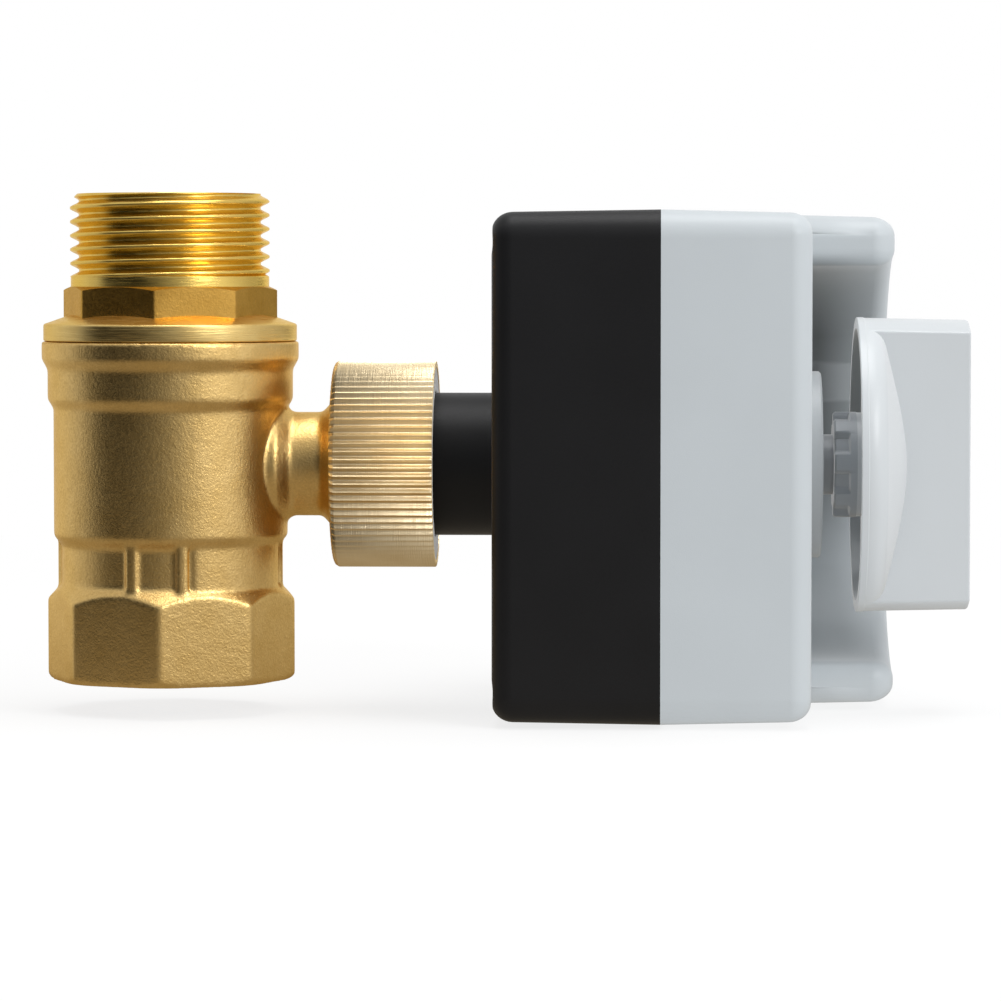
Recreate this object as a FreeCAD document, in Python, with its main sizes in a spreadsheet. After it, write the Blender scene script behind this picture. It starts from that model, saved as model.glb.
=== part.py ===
import FreeCAD, Part
import math
import os

import Sketcher

# Motorized ball valve. The origin is the centre of the female port's end face.
# +Z runs up the pipe to the male end, +X along the stem to the hand knob.

SIZES = {
    # Female G1 port and cast body, upwards from the port's end face.
    "thread_radius": 16.62,
    "thread_pitch": 2.309,
    "inlet_thread_length": 13.9,
    "octagon_wall": 4.23,
    "octagon_height": 13.6,
    "octagon_chamfer": 1.3,
    "shoulder_height": 2.5,
    "waist_inset": 1.3,
    "waist_height": 6.4,
    "waist_panel_rise": 0.5,
    "step_height": 2.0,
    "barrel_wall": 2.1,
    "barrel_height": 20.8,
    "band_taper": 1.7,
    "band_rise": 0.95,
    "band_height": 4.8,
    "collar_taper": 1.9,
    "collar_rise": 1.0,
    "collar_height": 2.8,
    "cast_fillet": 2.4,
    # Stem boss on the side of the body.
    "stem_height": 36.0,
    "boss_radius": 8.65,
    "boss_flare_start": 25.4,
    "boss_thread_start": 28.2,
    "boss_thread_radius": 14.5,
    "boss_end": 36.0,
    # Screwed end adapter with the male G1 thread.
    "adapter_flange_inset": 0.3,
    "adapter_flange_height": 3.2,
    "adapter_cone_height": 0.5,
    "adapter_corner_radius": 18.05,
    "adapter_octagon_height": 5.6,
    "adapter_chamfer": 0.8,
    "adapter_turn": -2.6,
    "adapter_bore_radius": 12.6,
    "sleeve_over_ball": 1.4,
    "outlet_thread_length": 15.2,
    "seal_ring_radius": 0.95,
    # Ball, seats and stem.
    "ball_radius": 16.0,
    "ball_bore_radius": 10.0,
    "ball_room": 0.7,
    "seat_from_pole": 7.0,
    "seat_height": 4.5,
    "seat_radius": 14.8,
    "seat_gap": 0.2,
    "ball_slot_width": 4.1,
    "ball_slot_depth": 3.8,
    "tang_length": 9.0,
    "stem_radius": 4.0,
    "stem_head_radius": 5.6,
    "stem_head_height": 1.6,
    "stem_washer_height": 0.8,
    "stem_ring_radius": 0.7,
    "stem_ring_spacing": 4.0,
    "drive_square": 5.4,
    "drive_square_length": 7.5,
    "stem_stub": 2.4,
    # Union nut over the neck of the actuator.
    "nut_radius": 17.2,
    "nut_overlap": 8.5,
    "nut_length": 17.0,
    "nut_chamfer": 0.8,
    "nut_lip": 4.0,
    "nut_rib_depth": 0.5,
    "nut_rib_count": 80.0,
    "slip_ring_height": 0.9,
    "neck_gasket_height": 1.2,
    "neck_gasket_bore": 9.0,
    "neck_flange_radius": 14.2,
    "neck_radius": 11.85,
    # Actuator box: its near wall is at the stem axis less box_near, its middle box_lift above the axis.
    "neck_length": 18.7,
    "base_depth": 27.1,
    "cover_depth": 24.2,
    "raised_height": 14.8,
    "box_near": 32.5,
    "box_far": 52.0,
    "box_half_height": 41.4,
    "box_lift": 0.6,
    "box_wall": 2.4,
    "box_corner": 4.7,
    "base_edge": 3.4,
    "cover_edge": 3.5,
    "raised_edge": 3.9,
    "raised_near": 1.0,
    "recess_radius": 33.0,
    "recess_edge": 3.0,
    "gasket_width": 1.3,
    "gasket_corner": 2.6,
    "gasket_height": 1.6,
    # Cover screws and the posts that hold them.
    "cover_screw_inset": 5.2,
    "cover_post_radius": 3.6,
    "cover_screw_radius": 1.5,
    "cover_screw_head_radius": 2.7,
    "cover_screw_head_height": 2.2,
    "cover_screw_length": 38.0,
    "cover_screw_cross": 1.0,
    # Gearbox plates and pillars, placed from the stem axis.
    "gear_plate_standoff": 3.6,
    "plate_thickness": 1.5,
    "plate_spacing": 15.5,
    "plate_near_margin": 6.7,
    "plate_far_margin": 6.6,
    "plate_end_margin": 2.1,
    "pillar_radius": 2.8,
    "pillar_near_edge": 3.4,
    "pillar_far_edge": 3.0,
    "pillar_end_edge": 8.5,
    "pillar_foot": 10.0,
    "pillar_foot_edge": 3.5,
    "plate_screw_radius": 1.2,
    "plate_screw_length": 6.0,
    "plate_screw_head_radius": 2.4,
    "plate_screw_head_height": 1.8,
    # Gear train.
    "gear_module": 1.0,
    "gear_backlash": 0.3,
    "output_teeth": 44.0,
    "idler_teeth": 36.0,
    "pinion_teeth": 12.0,
    "idler_angle": 8.0,
    "pinion_angle": -80.0,
    "gear_side_gap": 1.5,
    "output_gear_width": 6.0,
    "idler_gear_width": 3.4,
    "idler_pin_radius": 1.5,
    "pinion_bore_radius": 1.6,
    "motor_radius": 15.4,
    "motor_height": 19.0,
    "motor_ear_reach": 18.8,
    "motor_ear_radius": 3.2,
    "motor_ear_height": 0.8,
    # Output shaft, its bearings and the hand knob.
    "shaft_radius": 6.0,
    "shaft_top_radius": 7.0,
    "spindle_seal_height": 2.3,
    "bush_wall": 2.0,
    "top_bush_length": 6.0,
    "bush_flange": 1.9,
    "bush_flange_height": 1.3,
    "running_gap": 0.06,
    "circlip_height": 1.0,
    "cam_gap": 0.8,
    "cam_height": 4.6,
    "cam_wall": 0.9,
    "cam_lobe_rise": 1.3,
    "cam_lobe_width": 5.2,
    "knob_square": 6.0,
    "knob_travel": 4.2,
    "spindle_radius": 5.0,
    "hub_radius": 8.75,
    "hub_height": 3.8,
    "hub_slot_width": 2.4,
    "hub_slot_depth": 2.6,
    "hub_slot_count": 8.0,
    "dial_radius": 15.5,
    "dial_height": 2.4,
    "knob_lift": 8.3,
    "knob_radius": 24.5,
    "knob_rim": 1.2,
    "knob_skirt_radius": 24.1,
    "knob_skirt_height": 4.5,
    "knob_crown_height": 8.2,
    "knob_height": 18.4,
    "grip_half_width": 9.6,
    "knob_hollow_depth": 2.8,
    "knob_wall": 1.8,
    "spring_radius": 2.5,
    "spring_wire": 0.6,
    "spring_pressed_length": 5.4,
    "knob_screw_radius": 1.4,
    "knob_screw_head_radius": 2.5,
    "knob_screw_length": 12.0,
    # Limit switches beside the cam.
    "switch_length": 19.8,
    "switch_height": 10.2,
    "switch_width": 6.0,
    "switch_near": 22.5,
    "switch_gap": 0.3,
    "lever_thickness": 0.4,
    "lever_lift": 3.2,
    "lever_width": 3.6,
    "lever_reach": 23.0,
    "switch_screw_radius": 1.1,
    "switch_screw_inset": 4.0,
    # Circuit board.
    "standoff_height": 6.5,
    "board_thickness": 1.6,
    "board_near_edge": 1.4,
    "board_far_edge": 7.0,
    "board_width": 25.0,
    "board_top_edge": 1.5,
    "standoff_radius": 2.2,
    "terminal_length": 25.0,
    "terminal_height": 9.0,
    "terminal_depth": 10.0,
    "terminal_pole_count": 5.0,
    "terminal_well_radius": 1.7,
    "capacitor_radius": 5.0,
    "capacitor_height": 15.0,
    # Cable gland on the far wall.
    "gland_from_parting": 13.4,
    "gland_from_top": 18.0,
    "gland_radius": 6.0,
    "gland_bore_radius": 3.4,
    "gland_nut_radius": 8.4,
    "gland_flange_height": 5.0,
    "gland_locknut_height": 3.6,
    "gland_cap_height": 9.0,
    "gland_dome_height": 3.0,
    # Clearances.
    "fit_gap": 0.1,
    "part_gap": 0.3,
}

document = FreeCAD.newDocument("MotorizedBallValve")
sheet = document.addObject("Spreadsheet::Sheet", "Sizes")
for row, (alias, amount) in enumerate(SIZES.items(), start=1):
    sheet.set(f"A{row}", alias)
    sheet.set(f"B{row}", str(amount))
    sheet.setAlias(f"B{row}", alias)
document.recompute()

nodes = []


class Size:
    """A length, angle or count: its number now, and the sheet formula that it follows."""

    def __init__(self, number, formula):
        self.number = number
        self.formula = formula

    def __add__(self, other):
        other = as_size(other)
        return Size(self.number + other.number, f"({self.formula} + {other.formula})")

    def __sub__(self, other):
        other = as_size(other)
        return Size(self.number - other.number, f"({self.formula} - {other.formula})")

    def __mul__(self, other):
        other = as_size(other)
        return Size(self.number * other.number, f"({self.formula} * {other.formula})")

    def __truediv__(self, other):
        other = as_size(other)
        return Size(self.number / other.number, f"({self.formula} / {other.formula})")

    def __neg__(self):
        return as_size(0) - self


def as_size(value):
    if isinstance(value, Size):
        return value
    return Size(float(value), f"({float(value)})")


def cosine(angle):
    return Size(math.cos(math.radians(angle.number)), f"cos({angle.formula})")


def sine(angle):
    return Size(math.sin(math.radians(angle.number)), f"sin({angle.formula})")


class SheetSizes:
    """The driving sizes, read from the sheet by their names."""

    def __getattr__(self, name):
        return Size(float(sheet.get(name)), f"{sheet.Name}.{name}")


s = SheetSizes()
axis_z = s.stem_height

ALONG_X = FreeCAD.Rotation(FreeCAD.Vector(0, 1, 0), 90)
ALONG_Y = FreeCAD.Rotation(FreeCAD.Vector(1, 0, 0), -90)
ALONG_Z = FreeCAD.Rotation()


def place(thing, x, y, z):
    """Bind the place of a solid to the sheet."""
    thing.setExpression("Placement.Base.x", as_size(x).formula)
    thing.setExpression("Placement.Base.y", as_size(y).formula)
    thing.setExpression("Placement.Base.z", as_size(z).formula)


def rod(name, axis, start, end, radius, at):
    """A cylinder along X, Y or Z. at holds its two other coordinates in their order."""
    thing = document.addObject("Part::Cylinder", name)
    thing.setExpression("Radius", as_size(radius).formula)
    thing.setExpression("Height", (as_size(end) - start).formula)
    thing.Placement.Rotation = {"X": ALONG_X, "Y": ALONG_Y, "Z": ALONG_Z}[axis]
    if axis == "X":
        place(thing, start, at[0], at[1])
    elif axis == "Y":
        place(thing, at[0], start, at[1])
    else:
        place(thing, at[0], at[1], start)
    return thing


def block(name, x, y, z):
    """A box between the two ends that each pair gives."""
    thing = document.addObject("Part::Box", name)
    thing.setExpression("Length", (as_size(x[1]) - x[0]).formula)
    thing.setExpression("Width", (as_size(y[1]) - y[0]).formula)
    thing.setExpression("Height", (as_size(z[1]) - z[0]).formula)
    place(thing, x[0], y[0], z[0])
    return thing


def ball_shape(name, radius, x, z):
    thing = document.addObject("Part::Sphere", name)
    thing.setExpression("Radius", as_size(radius).formula)
    place(thing, x, 0, z)
    return thing


def hoop(name, axis, middle_radius, wire_radius, at):
    """A ring of round section about an axis along X or Z, with its centre at a place."""
    thing = document.addObject("Part::Torus", name)
    thing.setExpression("Radius1", as_size(middle_radius).formula)
    thing.setExpression("Radius2", as_size(wire_radius).formula)
    thing.Placement.Rotation = {"X": ALONG_X, "Z": ALONG_Z}[axis]
    place(thing, *at)
    return thing


def octagon(name, corner_radius, turn, start, end):
    """An upright eight-sided bar."""
    thing = document.addObject("Part::Prism", name)
    thing.Polygon = 8
    thing.setExpression("Circumradius", corner_radius.formula)
    thing.setExpression("Height", (as_size(end) - start).formula)
    thing.Placement.Rotation = FreeCAD.Rotation(FreeCAD.Vector(0, 0, 1), turn.number)
    place(thing, 0, 0, start)
    return thing


def fuse(name, *pieces):
    thing = document.addObject("Part::MultiFuse", name)
    thing.Shapes = list(pieces)
    thing.Refine = True
    return thing


def common(name, *pieces):
    thing = document.addObject("Part::MultiCommon", name)
    thing.Shapes = list(pieces)
    return thing


def cut(name, base, *tools):
    thing = document.addObject("Part::Cut", name)
    thing.Base = base
    thing.Tool = tools[0] if len(tools) == 1 else fuse(name + "_away", *tools)
    return thing


def group(name, pieces):
    """Identical solids that share one node."""
    thing = document.addObject("Part::Compound", name)
    thing.Links = list(pieces)
    return thing


def plane_of(body, role):
    return next(item for item in body.Origin.OriginFeatures if item.Role == role)


def outline(body, name, role, points, shift):
    """A closed outline of straight lines, whose corners are bound to the sheet."""
    sketch = body.newObject("Sketcher::SketchObject", name)
    sketch.AttachmentSupport = (plane_of(body, role), [""])
    sketch.MapMode = "FlatFace"
    for letter, amount in zip("xyz", shift):
        sketch.setExpression(f"AttachmentOffset.Base.{letter}", as_size(amount).formula)
    corners = [(as_size(across), as_size(up)) for across, up in points]
    places = [FreeCAD.Vector(across.number, up.number, 0) for across, up in corners]
    for index, corner in enumerate(places):
        following = places[(index + 1) % len(places)]
        sketch.addGeometry(Part.LineSegment(corner, following), False)
    for index in range(len(places)):
        following = (index + 1) % len(places)
        sketch.addConstraint(Sketcher.Constraint("Coincident", index, 2, following, 1))
    for index, (across, up) in enumerate(corners):
        for kind, amount in (("DistanceX", across), ("DistanceY", up)):
            rule = Sketcher.Constraint(kind, -1, 1, index, 1, amount.number)
            number = sketch.addConstraint(rule)
            sketch.setExpression(f"Constraints[{number}]", amount.formula)
    return sketch


def turn_in(body, name, axis, points, at=(0, 0), kind="Revolution"):
    """Turn an outline of (along, radius) corners about an axis along X, Y or Z."""
    if axis == "X":
        role, line, shift = "XZ_Plane", "H_Axis", (0, at[1], -as_size(at[0]))
    elif axis == "Y":
        role, line, shift = "YZ_Plane", "H_Axis", (0, at[1], at[0])
    else:
        role, line, shift = "YZ_Plane", "V_Axis", (at[1], 0, at[0])
        points = [(radius, along) for along, radius in points]
    sketch = outline(body, name + "_outline", role, points, shift)
    feature = body.newObject("PartDesign::" + kind, name)
    feature.Profile = sketch
    feature.ReferenceAxis = (sketch, [line])
    feature.Angle = 360
    return feature


def turned(name, axis, points, at=(0, 0)):
    """A piece made on a lathe."""
    body = document.addObject("PartDesign::Body", name)
    turn_in(body, name + "_turned", axis, points, at)
    return body


def padded(name, role, points, start, end):
    """A flat outline drawn out along its plane's normal, from start to end."""
    body = document.addObject("PartDesign::Body", name)
    sketch = outline(body, name + "_outline", role, points, (0, 0, start))
    pad = body.newObject("PartDesign::Pad", name + "_pad")
    pad.Profile = sketch
    pad.setExpression("Length", (as_size(end) - start).formula)
    return body


def rounded(body, name, radius, wanted):
    """Round the edges of a body that the test picks."""
    document.recompute()
    last = body.Tip
    picked = []
    for number, edge in enumerate(last.Shape.Edges, start=1):
        middle = edge.valueAt((edge.FirstParameter + edge.LastParameter) / 2)
        tangent = edge.tangentAt((edge.FirstParameter + edge.LastParameter) / 2)
        if wanted(edge, middle, tangent):
            picked.append(f"Edge{number}")
    fillet = body.newObject("PartDesign::Fillet", name)
    fillet.Base = (last, picked)
    fillet.setExpression("Radius", radius.formula)
    document.recompute()
    return fillet


def rectangle(left, right, low, high):
    return [(left, low), (right, low), (right, high), (left, high)]


def keep(thing, label):
    """Name a finished sub-part after the file that it is written to."""
    thing.Label = label
    nodes.append(thing)


# Levels along the pipe.
shoulder_z = s.octagon_height
waist_z = shoulder_z + s.shoulder_height
step_z = waist_z + s.waist_height
barrel_z = step_z + s.step_height
barrel_top_z = barrel_z + s.barrel_height
band_z = barrel_top_z + s.band_taper
band_top_z = band_z + s.band_height
collar_z = band_top_z + s.collar_taper
body_top_z = collar_z + s.collar_height
flange_top_z = body_top_z + s.adapter_flange_height
adapter_octagon_top_z = flange_top_z + s.adapter_cone_height + s.adapter_octagon_height
outlet_z = adapter_octagon_top_z + s.outlet_thread_length
adapter_sleeve_radius = s.ball_radius + s.sleeve_over_ball
barrel_radius = adapter_sleeve_radius + s.barrel_wall
waist_radius = barrel_radius - s.waist_inset
octagon_corner_radius = s.thread_radius + s.octagon_wall
band_radius = barrel_radius + s.band_rise
collar_radius = band_radius + s.collar_rise
adapter_flange_radius = collar_radius - s.adapter_flange_inset
seat_reach = s.ball_radius - s.seat_from_pole
cavity_radius = s.ball_radius + s.ball_room
lower_seat_z = axis_z - seat_reach - s.seat_height
upper_seat_z = axis_z + seat_reach
sleeve_z = upper_seat_z + s.part_gap
seat_bore = s.ball_bore_radius + s.part_gap
sleeve_room = adapter_sleeve_radius + s.fit_gap

# Levels along the stem.
nut_start = s.boss_end - s.nut_overlap
stem_reach = s.boss_end + s.stem_stub
base_start = s.boss_end + s.neck_length
parting = base_start + s.base_depth
cover_low = parting + s.cover_depth
cover_high = cover_low + s.raised_height
knob_start = cover_low + s.knob_lift
knob_end = knob_start + s.knob_height
hub_start = knob_start - s.hub_height

# A Whitworth thread's depth, and the share of its pitch on each crest and root.
THREAD_DEPTH = 0.6403
THREAD_FLAT = 1 / 6
thread_root_radius = s.thread_radius - s.thread_pitch * THREAD_DEPTH


def thread_rings(start, length, low, high):
    """Corners of a row of thread rings between two radii, from a start along its axis."""
    corners = []
    for turn in range(int(length.number // s.thread_pitch.number)):
        foot = start + s.thread_pitch * turn
        corners.append((foot + s.thread_pitch * THREAD_FLAT, low))
        corners.append((foot + s.thread_pitch * (1 / 2), high))
        corners.append((foot + s.thread_pitch * (1 / 2 + THREAD_FLAT), high))
        corners.append((foot + s.thread_pitch, low))
    return corners


# Where the raised ribs and panels round the waist begin and end, in degrees from +X.
WAIST_PANELS = ((-107, -101), (-81, -76), (-72, -11), (13, 19), (30, 80), (101, 107), (112, 160), (178, 184))


def make_valve_body():
    """The cast body: octagon port, waist, barrel, bands, collar and side boss."""
    barrel = turned("barrel", "Z", [
        (shoulder_z / 2, 0),
        (shoulder_z / 2, waist_radius),
        (shoulder_z, waist_radius + s.shoulder_height),
        (waist_z, waist_radius),
        (step_z, waist_radius),
        (barrel_z, barrel_radius),
        (barrel_top_z, barrel_radius),
        (band_z, band_radius),
        (band_top_z, band_radius),
        (collar_z, collar_radius),
        (body_top_z, collar_radius),
        (body_top_z, 0),
    ])
    turn_in(barrel, "side_boss", "X", [
        (0, 0),
        (0, s.boss_radius),
        (s.boss_flare_start, s.boss_radius),
        (s.boss_thread_start, s.boss_thread_radius),
        (s.boss_end, s.boss_thread_radius),
        (s.boss_end, 0),
    ], (0, axis_z))
    reach = s.boss_flare_start.number

    def joins_the_barrel(edge, middle, tangent):
        away = math.hypot(middle.y, middle.z - axis_z.number)
        near = abs(away - s.boss_radius.number) < s.part_gap.number
        curved = edge.BoundBox.YLength > s.part_gap.number
        return curved and near and s.boss_radius.number < middle.x < reach - s.part_gap.number

    rounded(barrel, "boss_fillet", s.cast_fillet, joins_the_barrel)
    port = octagon("port_octagon", octagon_corner_radius, as_size(0), 0, waist_z)
    port_edges = turned("port_edges", "Z", [
        (0, 0),
        (0, octagon_corner_radius - s.octagon_chamfer),
        (s.octagon_chamfer, octagon_corner_radius),
        (shoulder_z, octagon_corner_radius),
        (waist_z, waist_radius),
        (waist_z, 0),
    ])
    panels = []
    for side, (first, last) in enumerate(WAIST_PANELS):
        panel = document.addObject("Part::Cylinder", f"waist_panel_{side}")
        panel.setExpression("Radius", (waist_radius + s.waist_panel_rise).formula)
        panel.setExpression("Height", (step_z - shoulder_z).formula)
        panel.Angle = last - first
        panel.Placement.Rotation = FreeCAD.Rotation(FreeCAD.Vector(0, 0, 1), first)
        place(panel, 0, 0, shoulder_z)
        panels.append(panel)
    casting = fuse("casting", barrel, common("port", port, port_edges), *panels)
    thread = turned("port_thread", "Z", [
        (-s.part_gap, 0),
        (-s.part_gap, thread_root_radius),
        *thread_rings(as_size(0), s.inlet_thread_length, thread_root_radius, s.thread_radius),
        (s.inlet_thread_length, thread_root_radius),
        (s.inlet_thread_length, 0),
    ])
    passage = turned("passage", "Z", [
        (0, 0),
        (0, seat_bore),
        (lower_seat_z, seat_bore),
        (lower_seat_z, s.seat_radius + s.fit_gap),
        (axis_z - seat_reach, s.seat_radius + s.fit_gap),
        (axis_z - seat_reach, cavity_radius),
        (sleeve_z - s.part_gap, cavity_radius),
        (sleeve_z - s.part_gap, sleeve_room),
        (body_top_z + s.part_gap, sleeve_room),
        (body_top_z + s.part_gap, 0),
    ])
    stem_hole = turned("stem_hole", "X", [
        (0, 0),
        (0, s.stem_head_radius + s.fit_gap),
        (stem_washer_end + s.fit_gap, s.stem_head_radius + s.fit_gap),
        (stem_washer_end + s.fit_gap, s.stem_radius + s.running_gap),
        (s.boss_end + s.part_gap, s.stem_radius + s.running_gap),
        (s.boss_end + s.part_gap, 0),
    ], (0, axis_z))
    keep(cut("body_casting", casting, thread, passage, stem_hole), "valve_body")


def make_end_adapter():
    """The screwed end piece: sleeve, flange, octagon and male thread."""
    ring_z = body_top_z - s.part_gap - s.seal_ring_radius * 2
    blank = turned("adapter_blank", "Z", [
        (sleeve_z, s.seat_radius + s.fit_gap),
        (sleeve_z, adapter_sleeve_radius),
        (ring_z - s.seal_ring_radius - s.fit_gap, adapter_sleeve_radius),
        (ring_z - s.seal_ring_radius - s.fit_gap, adapter_sleeve_radius - s.seal_ring_radius * 2),
        (ring_z + s.seal_ring_radius + s.fit_gap, adapter_sleeve_radius - s.seal_ring_radius * 2),
        (ring_z + s.seal_ring_radius + s.fit_gap, adapter_sleeve_radius),
        (body_top_z, adapter_sleeve_radius),
        (body_top_z, adapter_flange_radius),
        (flange_top_z, adapter_flange_radius),
        (flange_top_z + s.adapter_cone_height, s.adapter_corner_radius),
        (adapter_octagon_top_z - s.adapter_chamfer, s.adapter_corner_radius),
        (adapter_octagon_top_z, s.thread_radius + s.part_gap),
        (adapter_octagon_top_z, thread_root_radius),
        *thread_rings(adapter_octagon_top_z, s.outlet_thread_length,
                      thread_root_radius, s.thread_radius),
        (outlet_z, thread_root_radius),
        (outlet_z, s.adapter_bore_radius),
        (upper_seat_z + s.seat_height + s.adapter_bore_radius - seat_bore, s.adapter_bore_radius),
        (upper_seat_z + s.seat_height, seat_bore),
        (upper_seat_z + s.seat_height, s.seat_radius + s.fit_gap),
    ])
    flats = octagon("adapter_octagon", s.adapter_corner_radius, s.adapter_turn, sleeve_z, outlet_z)
    below = rod("adapter_below", "Z", sleeve_z, flange_top_z, collar_radius, (0, 0))
    keep(common("adapter_turned", blank, fuse("adapter_flats", flats, below)), "end_adapter")
    ring = hoop("adapter_ring", "Z", adapter_sleeve_radius - s.seal_ring_radius, s.seal_ring_radius,
                (0, 0, ring_z))
    keep(ring, "adapter_o_ring")


def make_seats():
    """Two rings that the ball turns in, hollowed to its curve."""
    for label, near, far in (
        ("lower_seat", axis_z - seat_reach, lower_seat_z),
        ("upper_seat", upper_seat_z, upper_seat_z + s.seat_height),
    ):
        blank = turned(label + "_blank", "Z", [
            (near, seat_bore), (near, s.seat_radius), (far, s.seat_radius), (far, seat_bore),
        ])
        hollow = ball_shape(label + "_hollow", s.ball_radius + s.seat_gap, 0, axis_z)
        keep(cut(label + "_ring", blank, hollow), label)


def make_ball():
    """The bored ball, slotted where the stem turns it."""
    blank = ball_shape("ball_blank", s.ball_radius, 0, axis_z)
    bore = rod("ball_bore", "Z", 0, axis_z + s.ball_radius * 2, s.ball_bore_radius, (0, 0))
    half = s.ball_slot_width / 2
    slot = block("ball_slot", (s.ball_radius - s.ball_slot_depth, s.ball_radius * 2),
                 (-s.ball_radius, s.ball_radius), (axis_z - half, axis_z + half))
    keep(cut("bored_ball", blank, bore, slot), "ball")


stem_head_x = s.ball_radius + s.part_gap
stem_washer_x = stem_head_x + s.stem_head_height
stem_washer_end = stem_washer_x + s.stem_washer_height
stem_end = stem_reach + s.drive_square_length
ring_groove_depth = s.stem_ring_radius * 2 + s.running_gap
stem_rings_x = [
    s.boss_end - s.stem_ring_spacing,
    s.boss_end - s.stem_ring_spacing * 2,
]


def make_stem():
    """The stem: tang in the ball, head, shank with two seal grooves, drive square."""
    half_groove = s.stem_ring_radius + s.fit_gap / 2
    shank = [(stem_head_x, 0), (stem_head_x, s.stem_head_radius)]
    shank += [(stem_washer_x, s.stem_head_radius), (stem_washer_x, s.stem_radius)]
    for middle in reversed(stem_rings_x):
        shank.append((middle - half_groove, s.stem_radius))
        shank.append((middle - half_groove, s.stem_radius - ring_groove_depth))
        shank.append((middle + half_groove, s.stem_radius - ring_groove_depth))
        shank.append((middle + half_groove, s.stem_radius))
    shank += [(stem_reach, s.stem_radius), (stem_reach, 0)]
    tang_half = s.ball_slot_width / 2 - s.fit_gap
    tang = block("stem_tang", (s.ball_radius - s.ball_slot_depth + s.part_gap, stem_head_x + s.fit_gap),
                 (-s.tang_length / 2, s.tang_length / 2), (axis_z - tang_half, axis_z + tang_half))
    half = s.drive_square / 2
    square = block("stem_square", (stem_reach - s.fit_gap, stem_end), (-half, half),
                   (axis_z - half, axis_z + half))
    keep(fuse("stem", turned("stem_shank", "X", shank, (0, axis_z)), tang, square), "valve_stem")
    washer = turned("washer_ring", "X", [
        (stem_washer_x, s.stem_radius + s.fit_gap),
        (stem_washer_x, s.stem_head_radius),
        (stem_washer_end, s.stem_head_radius),
        (stem_washer_end, s.stem_radius + s.fit_gap),
    ], (0, axis_z))
    keep(washer, "stem_thrust_washer")
    rings = []
    for number, middle in enumerate(stem_rings_x):
        ring = hoop(f"stem_ring_{number}", "X", s.stem_radius - s.stem_ring_radius + s.running_gap / 2,
                    s.stem_ring_radius, (middle, 0, axis_z))
        rings.append(ring)
    keep(group("stem_rings", rings), "stem_o_rings")


nut_end = nut_start + s.nut_length
lip_x = nut_end - s.nut_lip
slip_ring_x = lip_x - s.slip_ring_height
neck_x = s.boss_end + s.neck_gasket_height


def ribbed_bar(name, count, radius, depth, start, end):
    """A bar along the stem axis with straight V ribs round it."""
    corners = []
    for rib in range(int(count.number)):
        for share, away in ((0, radius.number), (1 / 2, radius.number - depth.number)):
            angle = 2 * math.pi * (rib + share) / int(count.number)
            corners.append(FreeCAD.Vector(0, away * math.cos(angle), away * math.sin(angle)))
    corners.append(corners[0])
    face = Part.Face(Part.makePolygon(corners))
    bar = document.addObject("Part::Feature", name)
    bar.Shape = face.extrude(FreeCAD.Vector(end.number - start.number, 0, 0))
    bar.Placement = FreeCAD.Placement(FreeCAD.Vector(start.number, 0, axis_z.number), FreeCAD.Rotation())
    return bar


def make_union_nut():
    """The ribbed union nut, threaded over the boss, with a lip that draws in the neck."""
    bore = s.boss_thread_radius + s.fit_gap
    blank = turned("nut_blank", "X", [
        (nut_start, bore),
        (nut_start, s.nut_radius - s.nut_chamfer),
        (nut_start + s.nut_chamfer, s.nut_radius),
        (nut_end - s.part_gap, s.nut_radius),
        (nut_end, s.nut_radius - s.part_gap * 2),
        (nut_end, s.neck_radius + s.part_gap),
        (lip_x, s.neck_radius + s.part_gap),
        (lip_x, bore),
    ], (0, axis_z))
    ribs = ribbed_bar("nut_ribs", s.nut_rib_count, s.nut_radius, s.nut_rib_depth, nut_start, nut_end)
    keep(common("ribbed_nut", blank, ribs), "union_nut")
    slip_ring = turned("slip_ring", "X", [
        (slip_ring_x, s.neck_radius + s.part_gap),
        (slip_ring_x, s.neck_flange_radius),
        (lip_x - s.running_gap, s.neck_flange_radius),
        (lip_x - s.running_gap, s.neck_radius + s.part_gap),
    ], (0, axis_z))
    keep(slip_ring, "nut_slip_ring")
    gasket = turned("gasket_ring", "X", [
        (s.boss_end, s.neck_gasket_bore),
        (s.boss_end, s.neck_flange_radius),
        (neck_x, s.neck_flange_radius),
        (neck_x, s.neck_gasket_bore),
    ], (0, axis_z))
    keep(gasket, "neck_gasket")


box_low = axis_z + s.box_lift - s.box_half_height
box_high = axis_z + s.box_lift + s.box_half_height
inner_near = -s.box_near + s.box_wall
inner_far = s.box_far - s.box_wall
inner_low = box_low + s.box_wall
inner_high = box_high - s.box_wall
base_floor = base_start + s.box_wall
gland_along = parting - s.gland_from_parting
gland_z = box_high - s.gland_from_top
bush_radius = s.shaft_radius + s.running_gap + s.bush_wall
top_bush_radius = s.shaft_top_radius + s.running_gap + s.bush_wall
cover_floor = cover_low - s.box_wall
shaft_end = cover_floor - s.spindle_seal_height - s.part_gap
gear_plate_start = base_floor + s.gear_plate_standoff
gear_plate_end = gear_plate_start + s.plate_thickness
motor_plate_x = gear_plate_end + s.plate_spacing
motor_plate_end = motor_plate_x + s.plate_thickness
plate_near = s.box_near - s.box_wall - s.plate_near_margin
plate_far = s.box_far - s.box_wall - s.plate_far_margin
plate_half_height = s.box_half_height - s.box_wall - s.plate_end_margin
plate_hole = s.plate_screw_radius + s.fit_gap
pillar_reach = plate_half_height - s.pillar_end_edge
board_start = motor_plate_end + s.standoff_height
board_near = plate_near - s.board_near_edge
board_far = plate_far - s.board_far_edge

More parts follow.
